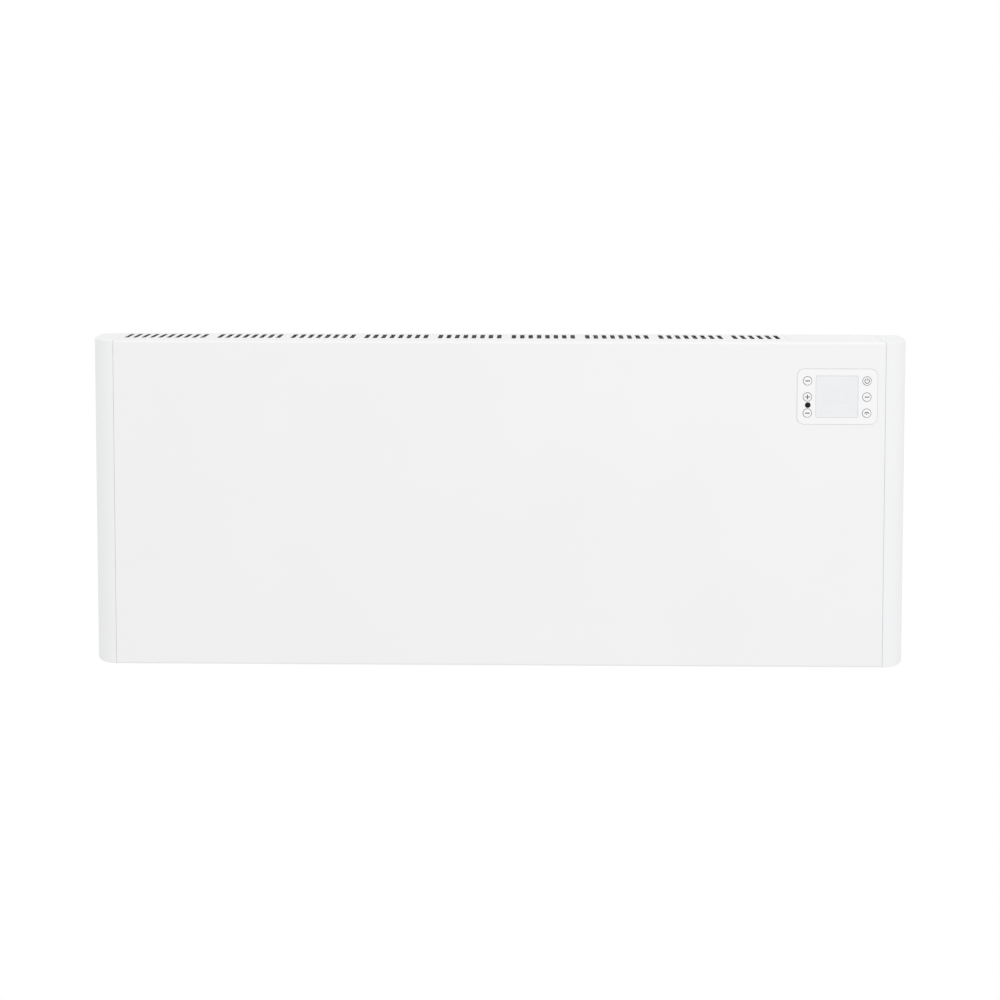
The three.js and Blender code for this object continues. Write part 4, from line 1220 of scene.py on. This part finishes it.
class Sign(Enum):
    """The generic sign printed on a key, down the left column and then the right one."""

    MODE = "mode"
    PLUS = "plus"
    MINUS = "minus"
    POWER = "power"
    SET = "set"
    TIMER = "timer"

    def outlines(self, stroke: float, size: float) -> list[Outline]:
        """The sign's outlines about its own middle, in shares of its stroke and its half width.

        Args:
            stroke: The line's width.
            size: The sign's overall width.

        Returns:
            Closed outlines that don't cross.
        """
        s, w, h = stroke, stroke / 2, size / 2
        if self is Sign.PLUS:
            quarter = [(h, -w), (h, w), (w, w)]
            turns = [(1, 0), (0, 1), (-1, 0), (0, -1)]
            return [[(c * u - d * v, d * u + c * v) for c, d in turns for u, v in quarter]]
        if self is Sign.MINUS:
            return [rounded_rectangle((0, 0), (size, s * 1.15), s * 0.2, 3)]
        if self is Sign.POWER:
            ring = band((0, 0), h * 0.95, s * 0.8, (122, 418), 40)
            return [ring, rounded_rectangle((0, h * 0.72), (s * 0.8, h * 1.0), s * 0.2, 3)]
        if self is Sign.MODE:
            return [disc((side * h * 0.66, 0), s * 0.8, 20) for side in (-1, 0, 1)]
        if self is Sign.SET:
            arrow = [
                (-1.0, 0.0), (-0.4, 0.42), (-0.4, 0.16), (0.7, 0.16), (0.7, 0.5), (1.0, 0.5), (1.0, -0.16),
                (-0.4, -0.16), (-0.4, -0.42),
            ]
            return [[(u * h, v * h) for u, v in arrow]]
        return [band((0, -h * 0.55), h * 0.95, s, (25, 155), 20), disc((0, -h * 0.35), s * 0.65, 16)]


@dataclass
class ControlPanel:
    """The flush fascia with its display, receiver window and push keys."""

    shop: Workshop
    middle: Point2 = Casing.fascia_middle
    size: Point2 = Casing.fascia_size
    radius: float = Casing.fascia_radius
    gap: float = 0.2
    proud: float = 0.4
    face: float = 2.4
    rim: float = 2.2
    rim_thickness: float = 1.6
    housing_in: float = 1.0
    wall: float = 1.6
    depth: float = 14.0
    window_middle: Point2 = (413.1, 335.4)
    window_size: Point2 = (51.2, 51.1)
    window_corner: float = 1.0
    window_gap: float = 0.15
    opening_corner: float = 1.3
    pane_back: float = 0.03
    segment_span: Span = (0.012, 0.06)
    digit_shifts: Point2 = (-10.5, 6.5)
    digit_rise: float = 3.0
    digit_size: Point2 = (11.0, 20.0)
    digit_stroke: float = 1.9
    digit_gap: float = 0.35
    tick_count: int = 7
    tick_first: float = -19.0
    tick_pitch: float = 5.6
    tick_width: float = 4.0
    tick_span: Span = (-18.5, -17.0)
    key_radius: float = 5.0
    key_gap: float = 0.6
    key_ledge: float = 1.2
    key_lip: float = 1.0
    key_behind: float = 0.3
    key_stem: float = 1.8
    key_ease: float = 0.35
    key_flat: float = 0.6
    columns: Point2 = (377.2, 449.4)
    rows: Triple = (354.85, 335.15, 315.35)
    eye: Point2 = (377.7, 325.1)
    eye_radius: float = 3.3
    eye_gap: float = 0.2
    eye_rim: float = 0.9
    eye_dome: float = 0.88
    stroke: float = 1.1
    sign_size: float = 5.8
    print_height: float = 0.04
    print_clear: float = 0.005
    print_sunk: float = 0.02
    # The dark ring of painted shade in each key's gap: how far behind the key's ledge it starts, and its width
    # as a share of the gap.
    shade_ring_height: float = 0.1
    shade_ring_share: float = 0.8

    def build(self) -> None:
        """Builds the fascia and everything in it."""
        self.fascia()
        self.display()
        self.receiver()
        for sign, at in zip(Sign, product(self.columns, self.rows)):
            self.key(sign, at)

    def grown(self, by: float, y: Span) -> Draft:
        """The fascia's outline, grown all round and run in depth.

        Args:
            by: How far it is grown.
            y: Where it starts and ends in depth.

        Returns:
            The draft.
        """
        size = (self.size[0] + 2 * by, self.size[1] + 2 * by)
        return Draft().prism(rounded_rectangle(self.middle, size, self.radius + by, 14), Axis.Y, y)

    def fascia(self) -> None:
        """The moulded insert: its face, rear flange and housing."""
        low = self.shop.span("control_fascia")[0].y
        face_back = low + self.face
        rim_front = Casing.sheet + Casing.joint
        housing = self.rim - self.housing_in
        through = (low - PAST, face_back + PAST)
        opening = (self.window_size[0] + 2 * self.window_gap, self.window_size[1] + 2 * self.window_gap)
        window = rounded_rectangle(self.window_middle, opening, self.opening_corner, 6)
        holes = Draft().prism(window, Axis.Y, through)
        for at in product(self.columns, self.rows):
            holes.prism(disc(at, self.key_radius + self.key_gap, 56), Axis.Y, through)
        holes.prism(disc(self.eye, self.eye_radius + self.eye_gap, 40), Axis.Y, through)
        self.shop.make(
            "control_fascia_moulding",
            self.grown(-self.gap, (low, face_back)),
            FASCIA_PLASTIC,
            joins=[
                self.grown(self.rim, (rim_front, rim_front + self.rim_thickness)),
                self.grown(housing, (rim_front + self.rim_thickness / 2, self.depth)),
            ],
            cuts=[self.grown(housing - self.wall, (face_back, self.depth + PAST)), holes],
            edge=Edge(0.22, 3),
            replaces=["control_fascia"],
        )

    def display(self) -> None:
        """The window's pane, with the faint segments of an idle display on it."""
        low, high = self.shop.span("display_window")
        pane = rounded_rectangle(self.window_middle, self.window_size, self.window_corner, 6)
        self.shop.make(
            "display_pane",
            Draft().prism(pane, Axis.Y, (low.y + self.pane_back, high.y)),
            DISPLAY_PANE,
            edge=Edge(0.06),
            replaces=["display_window"],
        )
        segments = Draft()
        for outline in self.idle_segments():
            segments.prism(outline, Axis.Y, (low.y + self.segment_span[0], low.y + self.segment_span[1]))
        self.shop.make("display_segments", segments, GHOST_INK)

    def idle_segments(self) -> list[Outline]:
        """The outlines of two digits and of the scale below them."""
        x, z = self.window_middle
        outlines: list[Outline] = []
        for shift in self.digit_shifts:
            outlines += self.digit((x + shift, z + self.digit_rise))
        for i in range(self.tick_count):
            left = x + self.tick_first + i * self.tick_pitch
            low, high = z + self.tick_span[0], z + self.tick_span[1]
            outlines.append(rectangle((left, low), (left + self.tick_width, high)))
        return outlines

    def digit(self, middle: Point2) -> list[Outline]:
        """The seven bars of one display digit.

        Args:
            middle: The digit's middle.

        Returns:
            Seven closed outlines.
        """
        (u, v), w, h = middle, self.digit_size[0] / 2, self.digit_size[1] / 2
        level = [self.bar((u - w, u + w), v + shift) for shift in (-h, 0.0, h)]
        upright = [self.bar((v + low, v + low + h), u + side) for side in (-w, w) for low in (-h, 0.0)]
        return level + [[(across, along) for along, across in bar] for bar in upright]

    def bar(self, span: Span, across: float) -> Outline:
        """One pointed bar of a digit.

        Args:
            span: Its ends, before the gaps between bars.
            across: Its place across its run.

        Returns:
            The closed outline, as points along it and across it.
        """
        s = self.digit_stroke / 2
        a, b = span[0] + self.digit_gap, span[1] - self.digit_gap
        upper = [(a, across), (a + s, across + s), (b - s, across + s)]
        return [*upper, (b, across), (b - s, across - s), (a + s, across - s)]

    def receiver(self) -> None:
        """The remote control's receiver window, slightly domed."""
        low, high = self.shop.span("receiver_window")
        r = self.eye_radius
        dome = arc((0.0, 0.0), (r, self.eye_dome), DOME_TURN, 10)
        profile = [(r, high.y), *[(radius, low.y + self.eye_rim - rise) for radius, rise in dome]]
        self.shop.make(
            "receiver_lens",
            Draft().domed(profile, Axis.Y, self.eye, 40),
            DARK_LENS,
            replaces=["receiver_window"],
        )

    def key(self, sign: Sign, at: Point2) -> None:
        """A push key with its sign, and a dark ring of painted shade in the gap round it.

        Args:
            sign: The sign on it.
            at: Its middle.
        """
        node = f"key_{sign.value}"
        low, high = self.shop.span(node)
        front = low.y + self.print_height
        flange = self.face - self.proud + self.key_behind
        r, ease, wide = self.key_radius, self.key_ease, self.key_radius + self.key_ledge
        profile = [
            (self.key_stem, high.y),
            (self.key_stem, flange + self.key_lip),
            (wide, flange + self.key_lip),
            (wide, flange),
            (r, flange),
            *[(r - ease + a, front + ease - b) for a, b in arc((0.0, 0.0), (ease, ease), (0, 90), 5)],
            (r * self.key_flat, front),
        ]
        self.shop.make(
            f"{node}_cap",
            Draft().domed(profile, Axis.Y, at, 56),
            FASCIA_PLASTIC,
            replaces=[node],
            body=node,
        )
        # The key's printed sign, plus a dark ring of painted shade in the gap round the key, made as one
        # piece.
        printed = Draft()
        for outline in sign.outlines(self.stroke, self.sign_size):
            moved = [(at[0] + u, at[1] + v) for u, v in outline]
            printed.prism(moved, Axis.Y, (low.y + self.print_clear, front + self.print_sunk))
        # Painted shade: a dark ring on the key's ledge, seen through the gap, where the gap would be in
        # shadow.
        ring = band(at, r + self.key_gap / 2, self.key_gap * self.shade_ring_share, WHOLE_RING, 56)
        printed.prism(ring, Axis.Y, (flange - self.shade_ring_height, flange + self.print_sunk))
        self.shop.make(f"{node}_sign_and_gap_shade", printed, SIGN_AND_GAP_SHADE_INK, body=node)


# ---------------------------------------------------------------------------
# Mains switch and cable entry
# ---------------------------------------------------------------------------


@dataclass
class MainsSwitch:
    """The rocker switch in the right end cap."""

    shop: Workshop
    middle: Point2 = EndCaps.switch_middle
    size: Point2 = (13.0, 19.4)
    corner: float = 0.6
    body_depth: float = 17.0
    body_lap: float = 0.5
    bezel: float = 1.2
    bezel_corner: float = 1.2
    bezel_lift: float = 0.3
    bezel_thickness: float = 1.6
    tab_half: Point2 = (2.4, 0.4)
    tab_shift: float = 5.0
    pivot_in: float = 4.8
    half: float = 7.6
    width: float = 10.4
    side_gap: float = 0.3
    reach: float = 5.2
    root: float = 3.6
    root_share: float = 0.62
    shoulder_share: float = 0.45
    crest_share: float = 0.96
    dish: float = 1.1
    dish_steps: int = 16
    tilt: float = -9.0
    well_gap: float = 1.3
    pin_radius: float = 0.9
    run_gap: float = 0.3
    mark_place: float = 0.55
    mark_span: Span = (-0.25, 0.12)
    bar_half: float = 0.35
    bar_span: Span = (3.0, 5.6)
    ring_down: float = 4.2
    ring_radius: float = 1.2
    ring_width: float = 0.6

    def build(self) -> None:
        """Builds the housing and the rocker, and dresses the pin."""
        side = self.shop.span("right_end_cap")[1].x
        self.housing(side)
        self.rocker(side)
        self.shop.dress("rocker_pin", ZINC_PLATE)

    def housing(self, side: float) -> None:
        """The housing with its bezel, well and tabs.

        Args:
            side: The end cap's outer face.
        """
        (y, z), (w, h), (tab_y, tab_z) = self.middle, self.size, self.tab_half
        low, high = self.shop.span("power_switch_housing")
        seat = side + self.bezel_lift
        body_end = seat - self.body_depth
        body = rounded_rectangle((y, z), (w, h), self.corner, 4)
        frame_size = (w + 2 * self.bezel, h + 2 * self.bezel)
        bezel = rounded_rectangle((y, z), frame_size, self.bezel_corner, 6)
        tabs = [
            Draft().block((low.x, body_end + PAST), (y - tab_y, y + tab_y), (z + dz - tab_z, z + dz + tab_z))
            for dz in (-self.tab_shift, self.tab_shift)
        ]
        pivot = side + self.bezel_thickness - self.pivot_in
        well_half = self.half + self.well_gap
        half_w = self.width / 2 + self.side_gap
        floor = pivot - self.root - self.well_gap
        well = Draft().block((floor, high.x + PAST), (y - half_w, y + half_w), (z - well_half, z + well_half))
        hole = disc((pivot, z), self.pin_radius + self.run_gap, 24)
        self.shop.make(
            "power_switch_body",
            Draft().prism(body, Axis.X, (body_end, seat + self.body_lap)),
            BLACK_PLASTIC,
            joins=[Draft().prism(bezel, Axis.X, (seat, high.x)), *tabs],
            cuts=[well, Draft().prism(hole, Axis.Y, (y - w, y + w))],
            edge=Edge(0.18),
            replaces=["power_switch_housing"],
        )

    def rocker(self, side: float) -> None:
        """The dished rocker, with a bar and a ring marked on it.

        Args:
            side: The end cap's outer face.
        """
        y, z = self.middle
        pivot = Vector((side + self.bezel_thickness - self.pivot_in, y, z))
        half, reach = self.half, self.reach
        crests = [-1 + 2 * i / self.dish_steps for i in range(self.dish_steps + 1)]
        outline = [
            (-self.root, -half * self.root_share),
            (reach * self.shoulder_share, -half),
            *[(reach - self.dish * (1 - t * t), half * self.crest_share * t) for t in crests],
            (reach * self.shoulder_share, half),
            (-self.root, half * self.root_share),
        ]
        placed = [(pivot.x + a, pivot.z + b) for a, b in outline]
        y_span = (y - self.width / 2, y + self.width / 2)
        bore = disc((pivot.x, pivot.z), self.pin_radius + self.run_gap, 24)
        self.shop.make(
            "power_rocker_lever",
            Draft().prism(placed, Axis.Y, y_span).turn_about(pivot, self.tilt, Axis.Y),
            BLACK_PLASTIC,
            cuts=[Draft().prism(bore, Axis.Y, (y_span[0] - PAST, y_span[1] + PAST))],
            edge=Edge(0.3, 3),
            replaces=["power_rocker"],
            body="power_rocker",
        )
        surface = pivot.x + reach - self.dish * (1 - self.mark_place**2)
        span = (surface + self.mark_span[0], surface + self.mark_span[1])
        bar = rectangle((y - self.bar_half, z + self.bar_span[0]), (y + self.bar_half, z + self.bar_span[1]))
        ring = band((y, z - self.ring_down), self.ring_radius, self.ring_width, WHOLE_RING, 28)
        marks = Draft().prism(bar, Axis.X, span).prism(ring, Axis.X, span)
        marks.turn_about(pivot, self.tilt, Axis.Y)
        self.shop.make("power_rocker_marks", marks, MARK_INK, body="power_rocker")


@dataclass
class CableEntry:
    """The gland where the mains cord goes in."""

    shop: Workshop
    middle: Point2 = Casing.gland_at
    bore: float = 4.2
    neck: float = 7.0
    flange: float = 10.5
    collar: float = 2.0
    play: float = 0.3
    shoulder: Point2 = (1.2, 0.8)
    tip: Point2 = (0.8, 0.3)
    tip_start: float = 1.2
    mouth: Point2 = (0.8, 0.5)
    ribs: int = 18
    rib_out: float = 0.35
    rib_radius: float = 0.8

    def build(self) -> None:
        """Builds the gland, with a gripped rim on its nut."""
        low, high = self.shop.span("cable_gland")
        seat = low.y + self.collar + 2 * self.play + Casing.sheet
        rim = seat + self.collar
        profile = [
            (self.bore, low.y),
            (self.neck, low.y),
            (self.neck, seat),
            (self.flange, seat),
            (self.flange, rim),
            (self.neck + self.shoulder[0], rim + self.shoulder[1]),
            (self.neck, high.y - self.tip_start),
            (self.neck - self.tip[0], high.y - self.tip[1]),
            (self.bore + self.mouth[0], high.y),
            (self.bore, high.y - self.mouth[1]),
        ]
        grips = Draft()
        for at in disc(self.middle, self.flange + self.rib_out, self.ribs):
            grips.prism(disc(at, self.rib_radius, 12), Axis.Y, (seat - PAST, rim + PAST))
        self.shop.make(
            "cable_gland_sleeve",
            Draft().turned(profile, Axis.Y, self.middle, 72),
            BLACK_PLASTIC,
            cuts=[grips],
            edge=Edge(0.15),
            replaces=["cable_gland"],
        )


# ---------------------------------------------------------------------------
# Wall side
# ---------------------------------------------------------------------------


@dataclass
class WallMount:
    """The wall rail with its hooks, and the lower spacers."""

    shop: Workshop
    rail_length: float = 560.0
    rail_height: float = 60.0
    steel: float = 1.5
    arm: float = 7.0
    bend: float = 2.4
    middle_z: float = 265.0
    wall: float = 105.0
    hook_middle: float = Casing.hook_middle
    hook_width: float = 30.0
    hook_lap: float = 1.0
    hook_corner: float = 4.0
    hook_depths: Span = (80.0, 90.0)
    hole_radius: float = 3.0
    holes: tuple[float, ...] = (-250.0, -90.0, 90.0, 250.0)
    spacer_wall: float = 3.0
    spacer_corner: float = 4.0
    spacer_inner_corner: float = 2.0
    spacer_hole: float = 2.4
    shank_radius: float = 1.8
    shank_lap: float = 0.5
    screw: PanScrew = PanScrew()

    def build(self) -> None:
        """Builds the rail and the spacers with their screws."""
        self.rail()
        for side in ("left", "right"):
            self.spacer(side)
            self.spacer_screw(side)

    def channel(self) -> Outline:
        """The rail's section, in depth and height, with round bends."""
        back, half, t, r = self.wall, self.rail_height / 2, self.steel, self.bend
        low, high, tip = self.middle_z - half, self.middle_z + half, self.wall - self.arm
        inner = r - t
        return [
            (tip, high),
            *arc((back - r, high - r), (r, r), (90, 0), 8),
            *arc((back - r, low + r), (r, r), (0, -90), 8),
            (tip, low),
            (tip, low + t),
            *arc((back - r, low + r), (inner, inner), (-90, 0), 8),
            *arc((back - r, high - r), (inner, inner), (0, 90), 8),
            (tip, high - t),
        ]

    def hook_section(self) -> Outline:
        """A hook's section, in depth and height: forward through the slot, then up."""
        low, high = self.shop.span("wall_rail")
        front, top, t, r = low.y, high.z, self.steel, self.bend
        level = self.middle_z + self.rail_height / 2
        start = self.wall - self.arm + self.hook_lap
        inner = r - t
        return [
            (start, level),
            *arc((front + t + inner, level + inner), (inner, inner), (270, 180), 8),
            (front + t, top),
            (front, top),
            *arc((front + r, level - t + r), (r, r), (180, 270), 8),
            (start, level - t),
        ]

    def rail(self) -> None:
        """The rail, with its hooks and screw holes."""
        half, hook_half = self.rail_length / 2, self.hook_width / 2
        middles = (-self.hook_middle, self.hook_middle)
        hooks = [Draft().prism(self.hook_section(), Axis.X, (x - hook_half, x + hook_half)) for x in middles]
        through = (self.wall - 4 * PAST, self.wall + PAST)
        holes = Draft()
        for x in self.holes:
            holes.prism(disc((x, self.middle_z), self.hole_radius, 32), Axis.Y, through)
        rounding = Draft()
        for x, side in product(middles, (-1, 1)):
            rounding.prism(self.corner_cut(x, side), Axis.Y, self.hook_depths)
        self.shop.make(
            "wall_rail_channel",
            Draft().prism(self.channel(), Axis.X, (-half, half)),
            ZINC_PLATE,
            joins=hooks,
            cuts=[holes, rounding],
            edge=Edge(0.2),
            replaces=["wall_rail"],
            body="wall_rail",
        )

    def corner_cut(self, x: float, side: int) -> Outline:
        """What is cut off a hook's upper corner to round it.

        Args:
            x: The hook's middle.
            side: 1 or -1, its right or left corner.

        Returns:
            The closed outline in X and Z.
        """
        r, top = self.hook_corner, self.shop.span("wall_rail")[1].z
        corner = x + side * self.hook_width / 2
        inside, outside = corner - side * r, corner + side * PAST
        turn = (0, 90) if side > 0 else (180, 90)
        rounded = arc((inside, top - r), (r, r), turn, 8)
        return [*rounded, (inside, top + PAST), (outside, top + PAST), (outside, top - r)]

    def spacer(self, side: str) -> None:
        """A cup-shaped spacer.

        Args:
            side: left or right.
        """
        low, high = self.shop.span(f"lower_spacer_{side}")
        middle = ((low.x + high.x) / 2, (low.z + high.z) / 2)
        w, h, t = high.x - low.x, high.z - low.z, self.spacer_wall
        cup = rounded_rectangle(middle, (w, h), self.spacer_corner, 10)
        hollow = rounded_rectangle(middle, (w - 2 * t, h - 2 * t), self.spacer_inner_corner, 8)
        hole = disc(middle, self.spacer_hole, 24)
        self.shop.make(
            f"lower_spacer_{side}_cup",
            Draft().prism(cup, Axis.Y, (low.y, high.y)),
            CAP_PLASTIC,
            cuts=[
                Draft().prism(hollow, Axis.Y, (low.y + t, high.y + PAST)),
                Draft().prism(hole, Axis.Y, (low.y - PAST, low.y + t + PAST)),
            ],
            edge=Edge(0.5, 3),
            replaces=[f"lower_spacer_{side}"],
        )

    def spacer_screw(self, side: str) -> None:
        """The screw in a spacer.

        Args:
            side: left or right.
        """
        cup_low, cup_high = self.shop.span(f"lower_spacer_{side}")
        middle = ((cup_low.x + cup_high.x) / 2, (cup_low.z + cup_high.z) / 2)
        low, high = self.shop.span(f"spacer_screw_{side}")
        seat = high.y - self.screw.head_height
        shank = disc(middle, self.shank_radius, 24)
        self.shop.make(
            f"spacer_screw_{side}_pan",
            self.screw.head(middle, seat),
            ZINC_PLATE,
            joins=[Draft().prism(shank, Axis.Y, (low.y, seat + self.shank_lap))],
            cuts=self.screw.recess(middle, seat),
            replaces=[f"spacer_screw_{side}"],
        )


# ---------------------------------------------------------------------------
# Inside
# ---------------------------------------------------------------------------


@dataclass
class Inside:
    """What the casing hides: the model's own solids, dressed in their finishes."""

    shop: Workshop
    edge: Edge = Edge(0.15)
    sides: tuple[str, str] = ("left", "right")
    levels: tuple[str, str] = ("lower", "upper")

    def build(self) -> None:
        """Dresses the frame plates, heating parts, electronics, leads and screws."""
        bushes = [f"element_{level}_bush_{side}" for level, side in product(self.levels, self.sides)]
        cap_screws = [f"cap_screw_{side}_{level}" for side, level in product(self.sides, self.levels)]
        boxes = ["lcd_module", "board_tray", "power_transformer", "smoothing_capacitor", "terminal_block"]
        self.dress(["left_end_plate", "right_end_plate", "partition_plate", "heat_shield"], ZINC_SHEET)
        self.dress(["element_lower", "element_upper"], PRESSED_ALUMINIUM)
        self.dress([*bushes, "thermal_cutout"], BUSH_CERAMIC)
        self.dress(["control_board", "power_board"], BOARD_GREEN)
        self.dress(["relay_lower", "relay_upper"], RELAY_BLUE)
        self.dress([*boxes, "room_sensor"], BLACK_PLASTIC)
        self.dress(cap_screws, ZINC_PLATE)
        self.dress(["wire_lower_element", "wire_upper_element", "wire_switch_live"], RED_SLEEVE, False)
        self.dress(["wire_switch_neutral"], BLUE_SLEEVE, False)
        self.dress(["display_cable"], BLACK_PLASTIC, False)

    def dress(self, nodes: Iterable[str], finish: Finish, eased: bool = True) -> None:
        """Dresses several nodes alike.

        Args:
            nodes: Their names.
            finish: Their finish.
            eased: Whether their edges are eased.
        """
        for node in nodes:
            self.shop.dress(node, finish, self.edge if eased else None)


# ---------------------------------------------------------------------------
# Studio
# ---------------------------------------------------------------------------


@dataclass(frozen=True)
class Studio:
    """The plain pale floor, the soft light and the camera."""

    camera_at: Triple = (42.0, -2246.8, 648.97)
    yaw: float = 1.014
    pitch: float = 3.531
    roll: float = 0.035
    image: float = 1000.0
    focal_pixels: float = 1850.0
    axis_pixel: Point2 = (500.0, 253.0)
    sensor: float = 36.0
    clip_end: float = 200.0
    floor_below: float = 1.6
    floor_half: float = 60.0
    surround: float = 0.893
    from_front: float = 0.04
    from_above: float = 0.107
    lamp_at: Triple = (1250.0, -2000.0, 1900.0)
    lamp_size: float = 2.0
    lamp_power: float = 11.0

    def build(self, shop: Workshop) -> None:
        """Sets everything up.

        Args:
            shop: The workshop, for the part's origin.
        """
        bpy.context.scene.view_settings.view_transform = "Standard"
        self.camera(shop.origin())
        self.light()
        self.lamp(shop.origin())
        self.floor()

    def camera(self, origin: Vector) -> None:
        """The camera at the photograph's place.

        Args:
            origin: The middle of the casing's lower front edge.
        """
        data = bpy.data.cameras.new("photo_camera")
        data.sensor_width = self.sensor
        data.lens = self.sensor * self.focal_pixels / self.image
        data.shift_x = (self.image / 2 - self.axis_pixel[0]) / self.image
        data.shift_y = (self.axis_pixel[1] - self.image / 2) / self.image
        data.clip_end = self.clip_end
        camera = bpy.data.objects.new("photo_camera", data)
        bpy.context.scene.collection.objects.link(camera)
        yaw, pitch = math.radians(self.yaw), math.radians(self.pitch)
        look = Vector((-math.sin(yaw) * math.cos(pitch), math.cos(yaw) * math.cos(pitch), -math.sin(pitch)))
        turn = look.to_track_quat("-Z", "Y").to_matrix().to_4x4()
        roll = Matrix.Rotation(math.radians(self.roll), 4, "Z")
        camera.matrix_world = Matrix.Translation(origin + Vector(self.camera_at) * MM) @ turn @ roll
        bpy.context.scene.camera = camera

    def light(self) -> None:
        """A white surround, a little brighter from the front and above."""
        world = bpy.data.worlds.new("studio")
        bpy.context.scene.world = world
        world.use_nodes = True
        nodes, link = world.node_tree.nodes, world.node_tree.links.new
        nodes.clear()
        parts = nodes.new("ShaderNodeSeparateXYZ")
        link(nodes.new("ShaderNodeTexCoord").outputs["Generated"], parts.inputs["Vector"])
        front, above = nodes.new("ShaderNodeMath"), nodes.new("ShaderNodeMath")
        for node, axis, share in ((front, "Y", -self.from_front), (above, "Z", self.from_above)):
            node.operation = "MULTIPLY_ADD"
            node.inputs[1].default_value = share
            link(parts.outputs[axis], node.inputs[0])
        front.inputs[2].default_value = self.surround
        link(front.outputs["Value"], above.inputs[2])
        lit, backdrop = nodes.new("ShaderNodeBackground"), nodes.new("ShaderNodeBackground")
        link(above.outputs["Value"], lit.inputs["Strength"])
        backdrop.inputs["Strength"].default_value = 1.0
        mix = nodes.new("ShaderNodeMixShader")
        link(nodes.new("ShaderNodeLightPath").outputs["Is Camera Ray"], mix.inputs["Fac"])
        for shader, place in zip((lit, backdrop), (1, 2)):
            shader.inputs["Color"].default_value = (1, 1, 1, 1)
            link(shader.outputs["Background"], mix.inputs[place])
        link(mix.outputs["Shader"], nodes.new("ShaderNodeOutputWorld").inputs["Surface"])

    def lamp(self, origin: Vector) -> None:
        """A large soft lamp to the upper right, in front.

        Args:
            origin: The middle of the casing's lower front edge.
        """
        data = bpy.data.lights.new("soft_lamp", "AREA")
        data.size = self.lamp_size
        data.energy = self.lamp_power
        lamp = bpy.data.objects.new("soft_lamp", data)
        bpy.context.scene.collection.objects.link(lamp)
        away = Vector(self.lamp_at) * MM
        aim = Vector((0.0, 0.0, Casing.height / 2 * MM)) - away
        turn = aim.to_track_quat("-Z", "Y").to_matrix().to_4x4()
        lamp.matrix_world = Matrix.Translation(origin + away) @ turn
        lamp.visible_camera = False

    def floor(self) -> None:
        """A plain pale floor, well below the heater, which hangs on a wall."""
        draft = Draft()
        reach = self.floor_half / MM
        corners = rectangle((-reach, -reach), (reach, reach))
        draft.mesh.faces.new([draft.mesh.verts.new((x, y, 0)) for x, y in corners])
        floor = draft.to_object("floor")
        floor.data.transform(Matrix.Scale(MM, 4))
        floor.location.z = -self.floor_below
        floor.data.materials.append(self.floor_paint())
        floor.visible_diffuse = False
        floor.visible_glossy = False
        floor.visible_shadow = False

    def floor_paint(self) -> bpy.types.Material:
        """A white that takes no light, and can't be seen from underneath."""
        graph = Graph("pale_floor")
        graph.set(Base_Color=(0, 0, 0, 1), Specular_IOR_Level=0.0)
        graph.set(Emission_Color=(1, 1, 1, 1), Emission_Strength=1.0)
        behind = graph.add("ShaderNodeNewGeometry").outputs["Backfacing"]
        clear = graph.add("ShaderNodeBsdfTransparent")
        mix = graph.add("ShaderNodeMixShader")
        graph.link(behind, mix.inputs["Fac"])
        graph.link(graph.shader.outputs["BSDF"], mix.inputs[1])
        graph.link(clear.outputs["BSDF"], mix.inputs[2])
        graph.link(mix.outputs["Shader"], graph.tree.nodes["Material Output"].inputs["Surface"])
        return graph.material


def main() -> None:
    """Builds the heater's sub-assemblies in order, and the studio round them."""
    logging.basicConfig(level=logging.INFO, format="%(name)s: %(message)s")
    shop = Workshop()
    Studio().build(shop)
    for assembly in (Casing, EndCaps, ControlPanel, MainsSwitch, CableEntry, WallMount, Inside):
        assembly(shop).build()
        LOG.info("%s done", assembly.__name__)
    LOG.info("%d pieces made", len(shop.made))


if __name__ == "__main__":
    main()
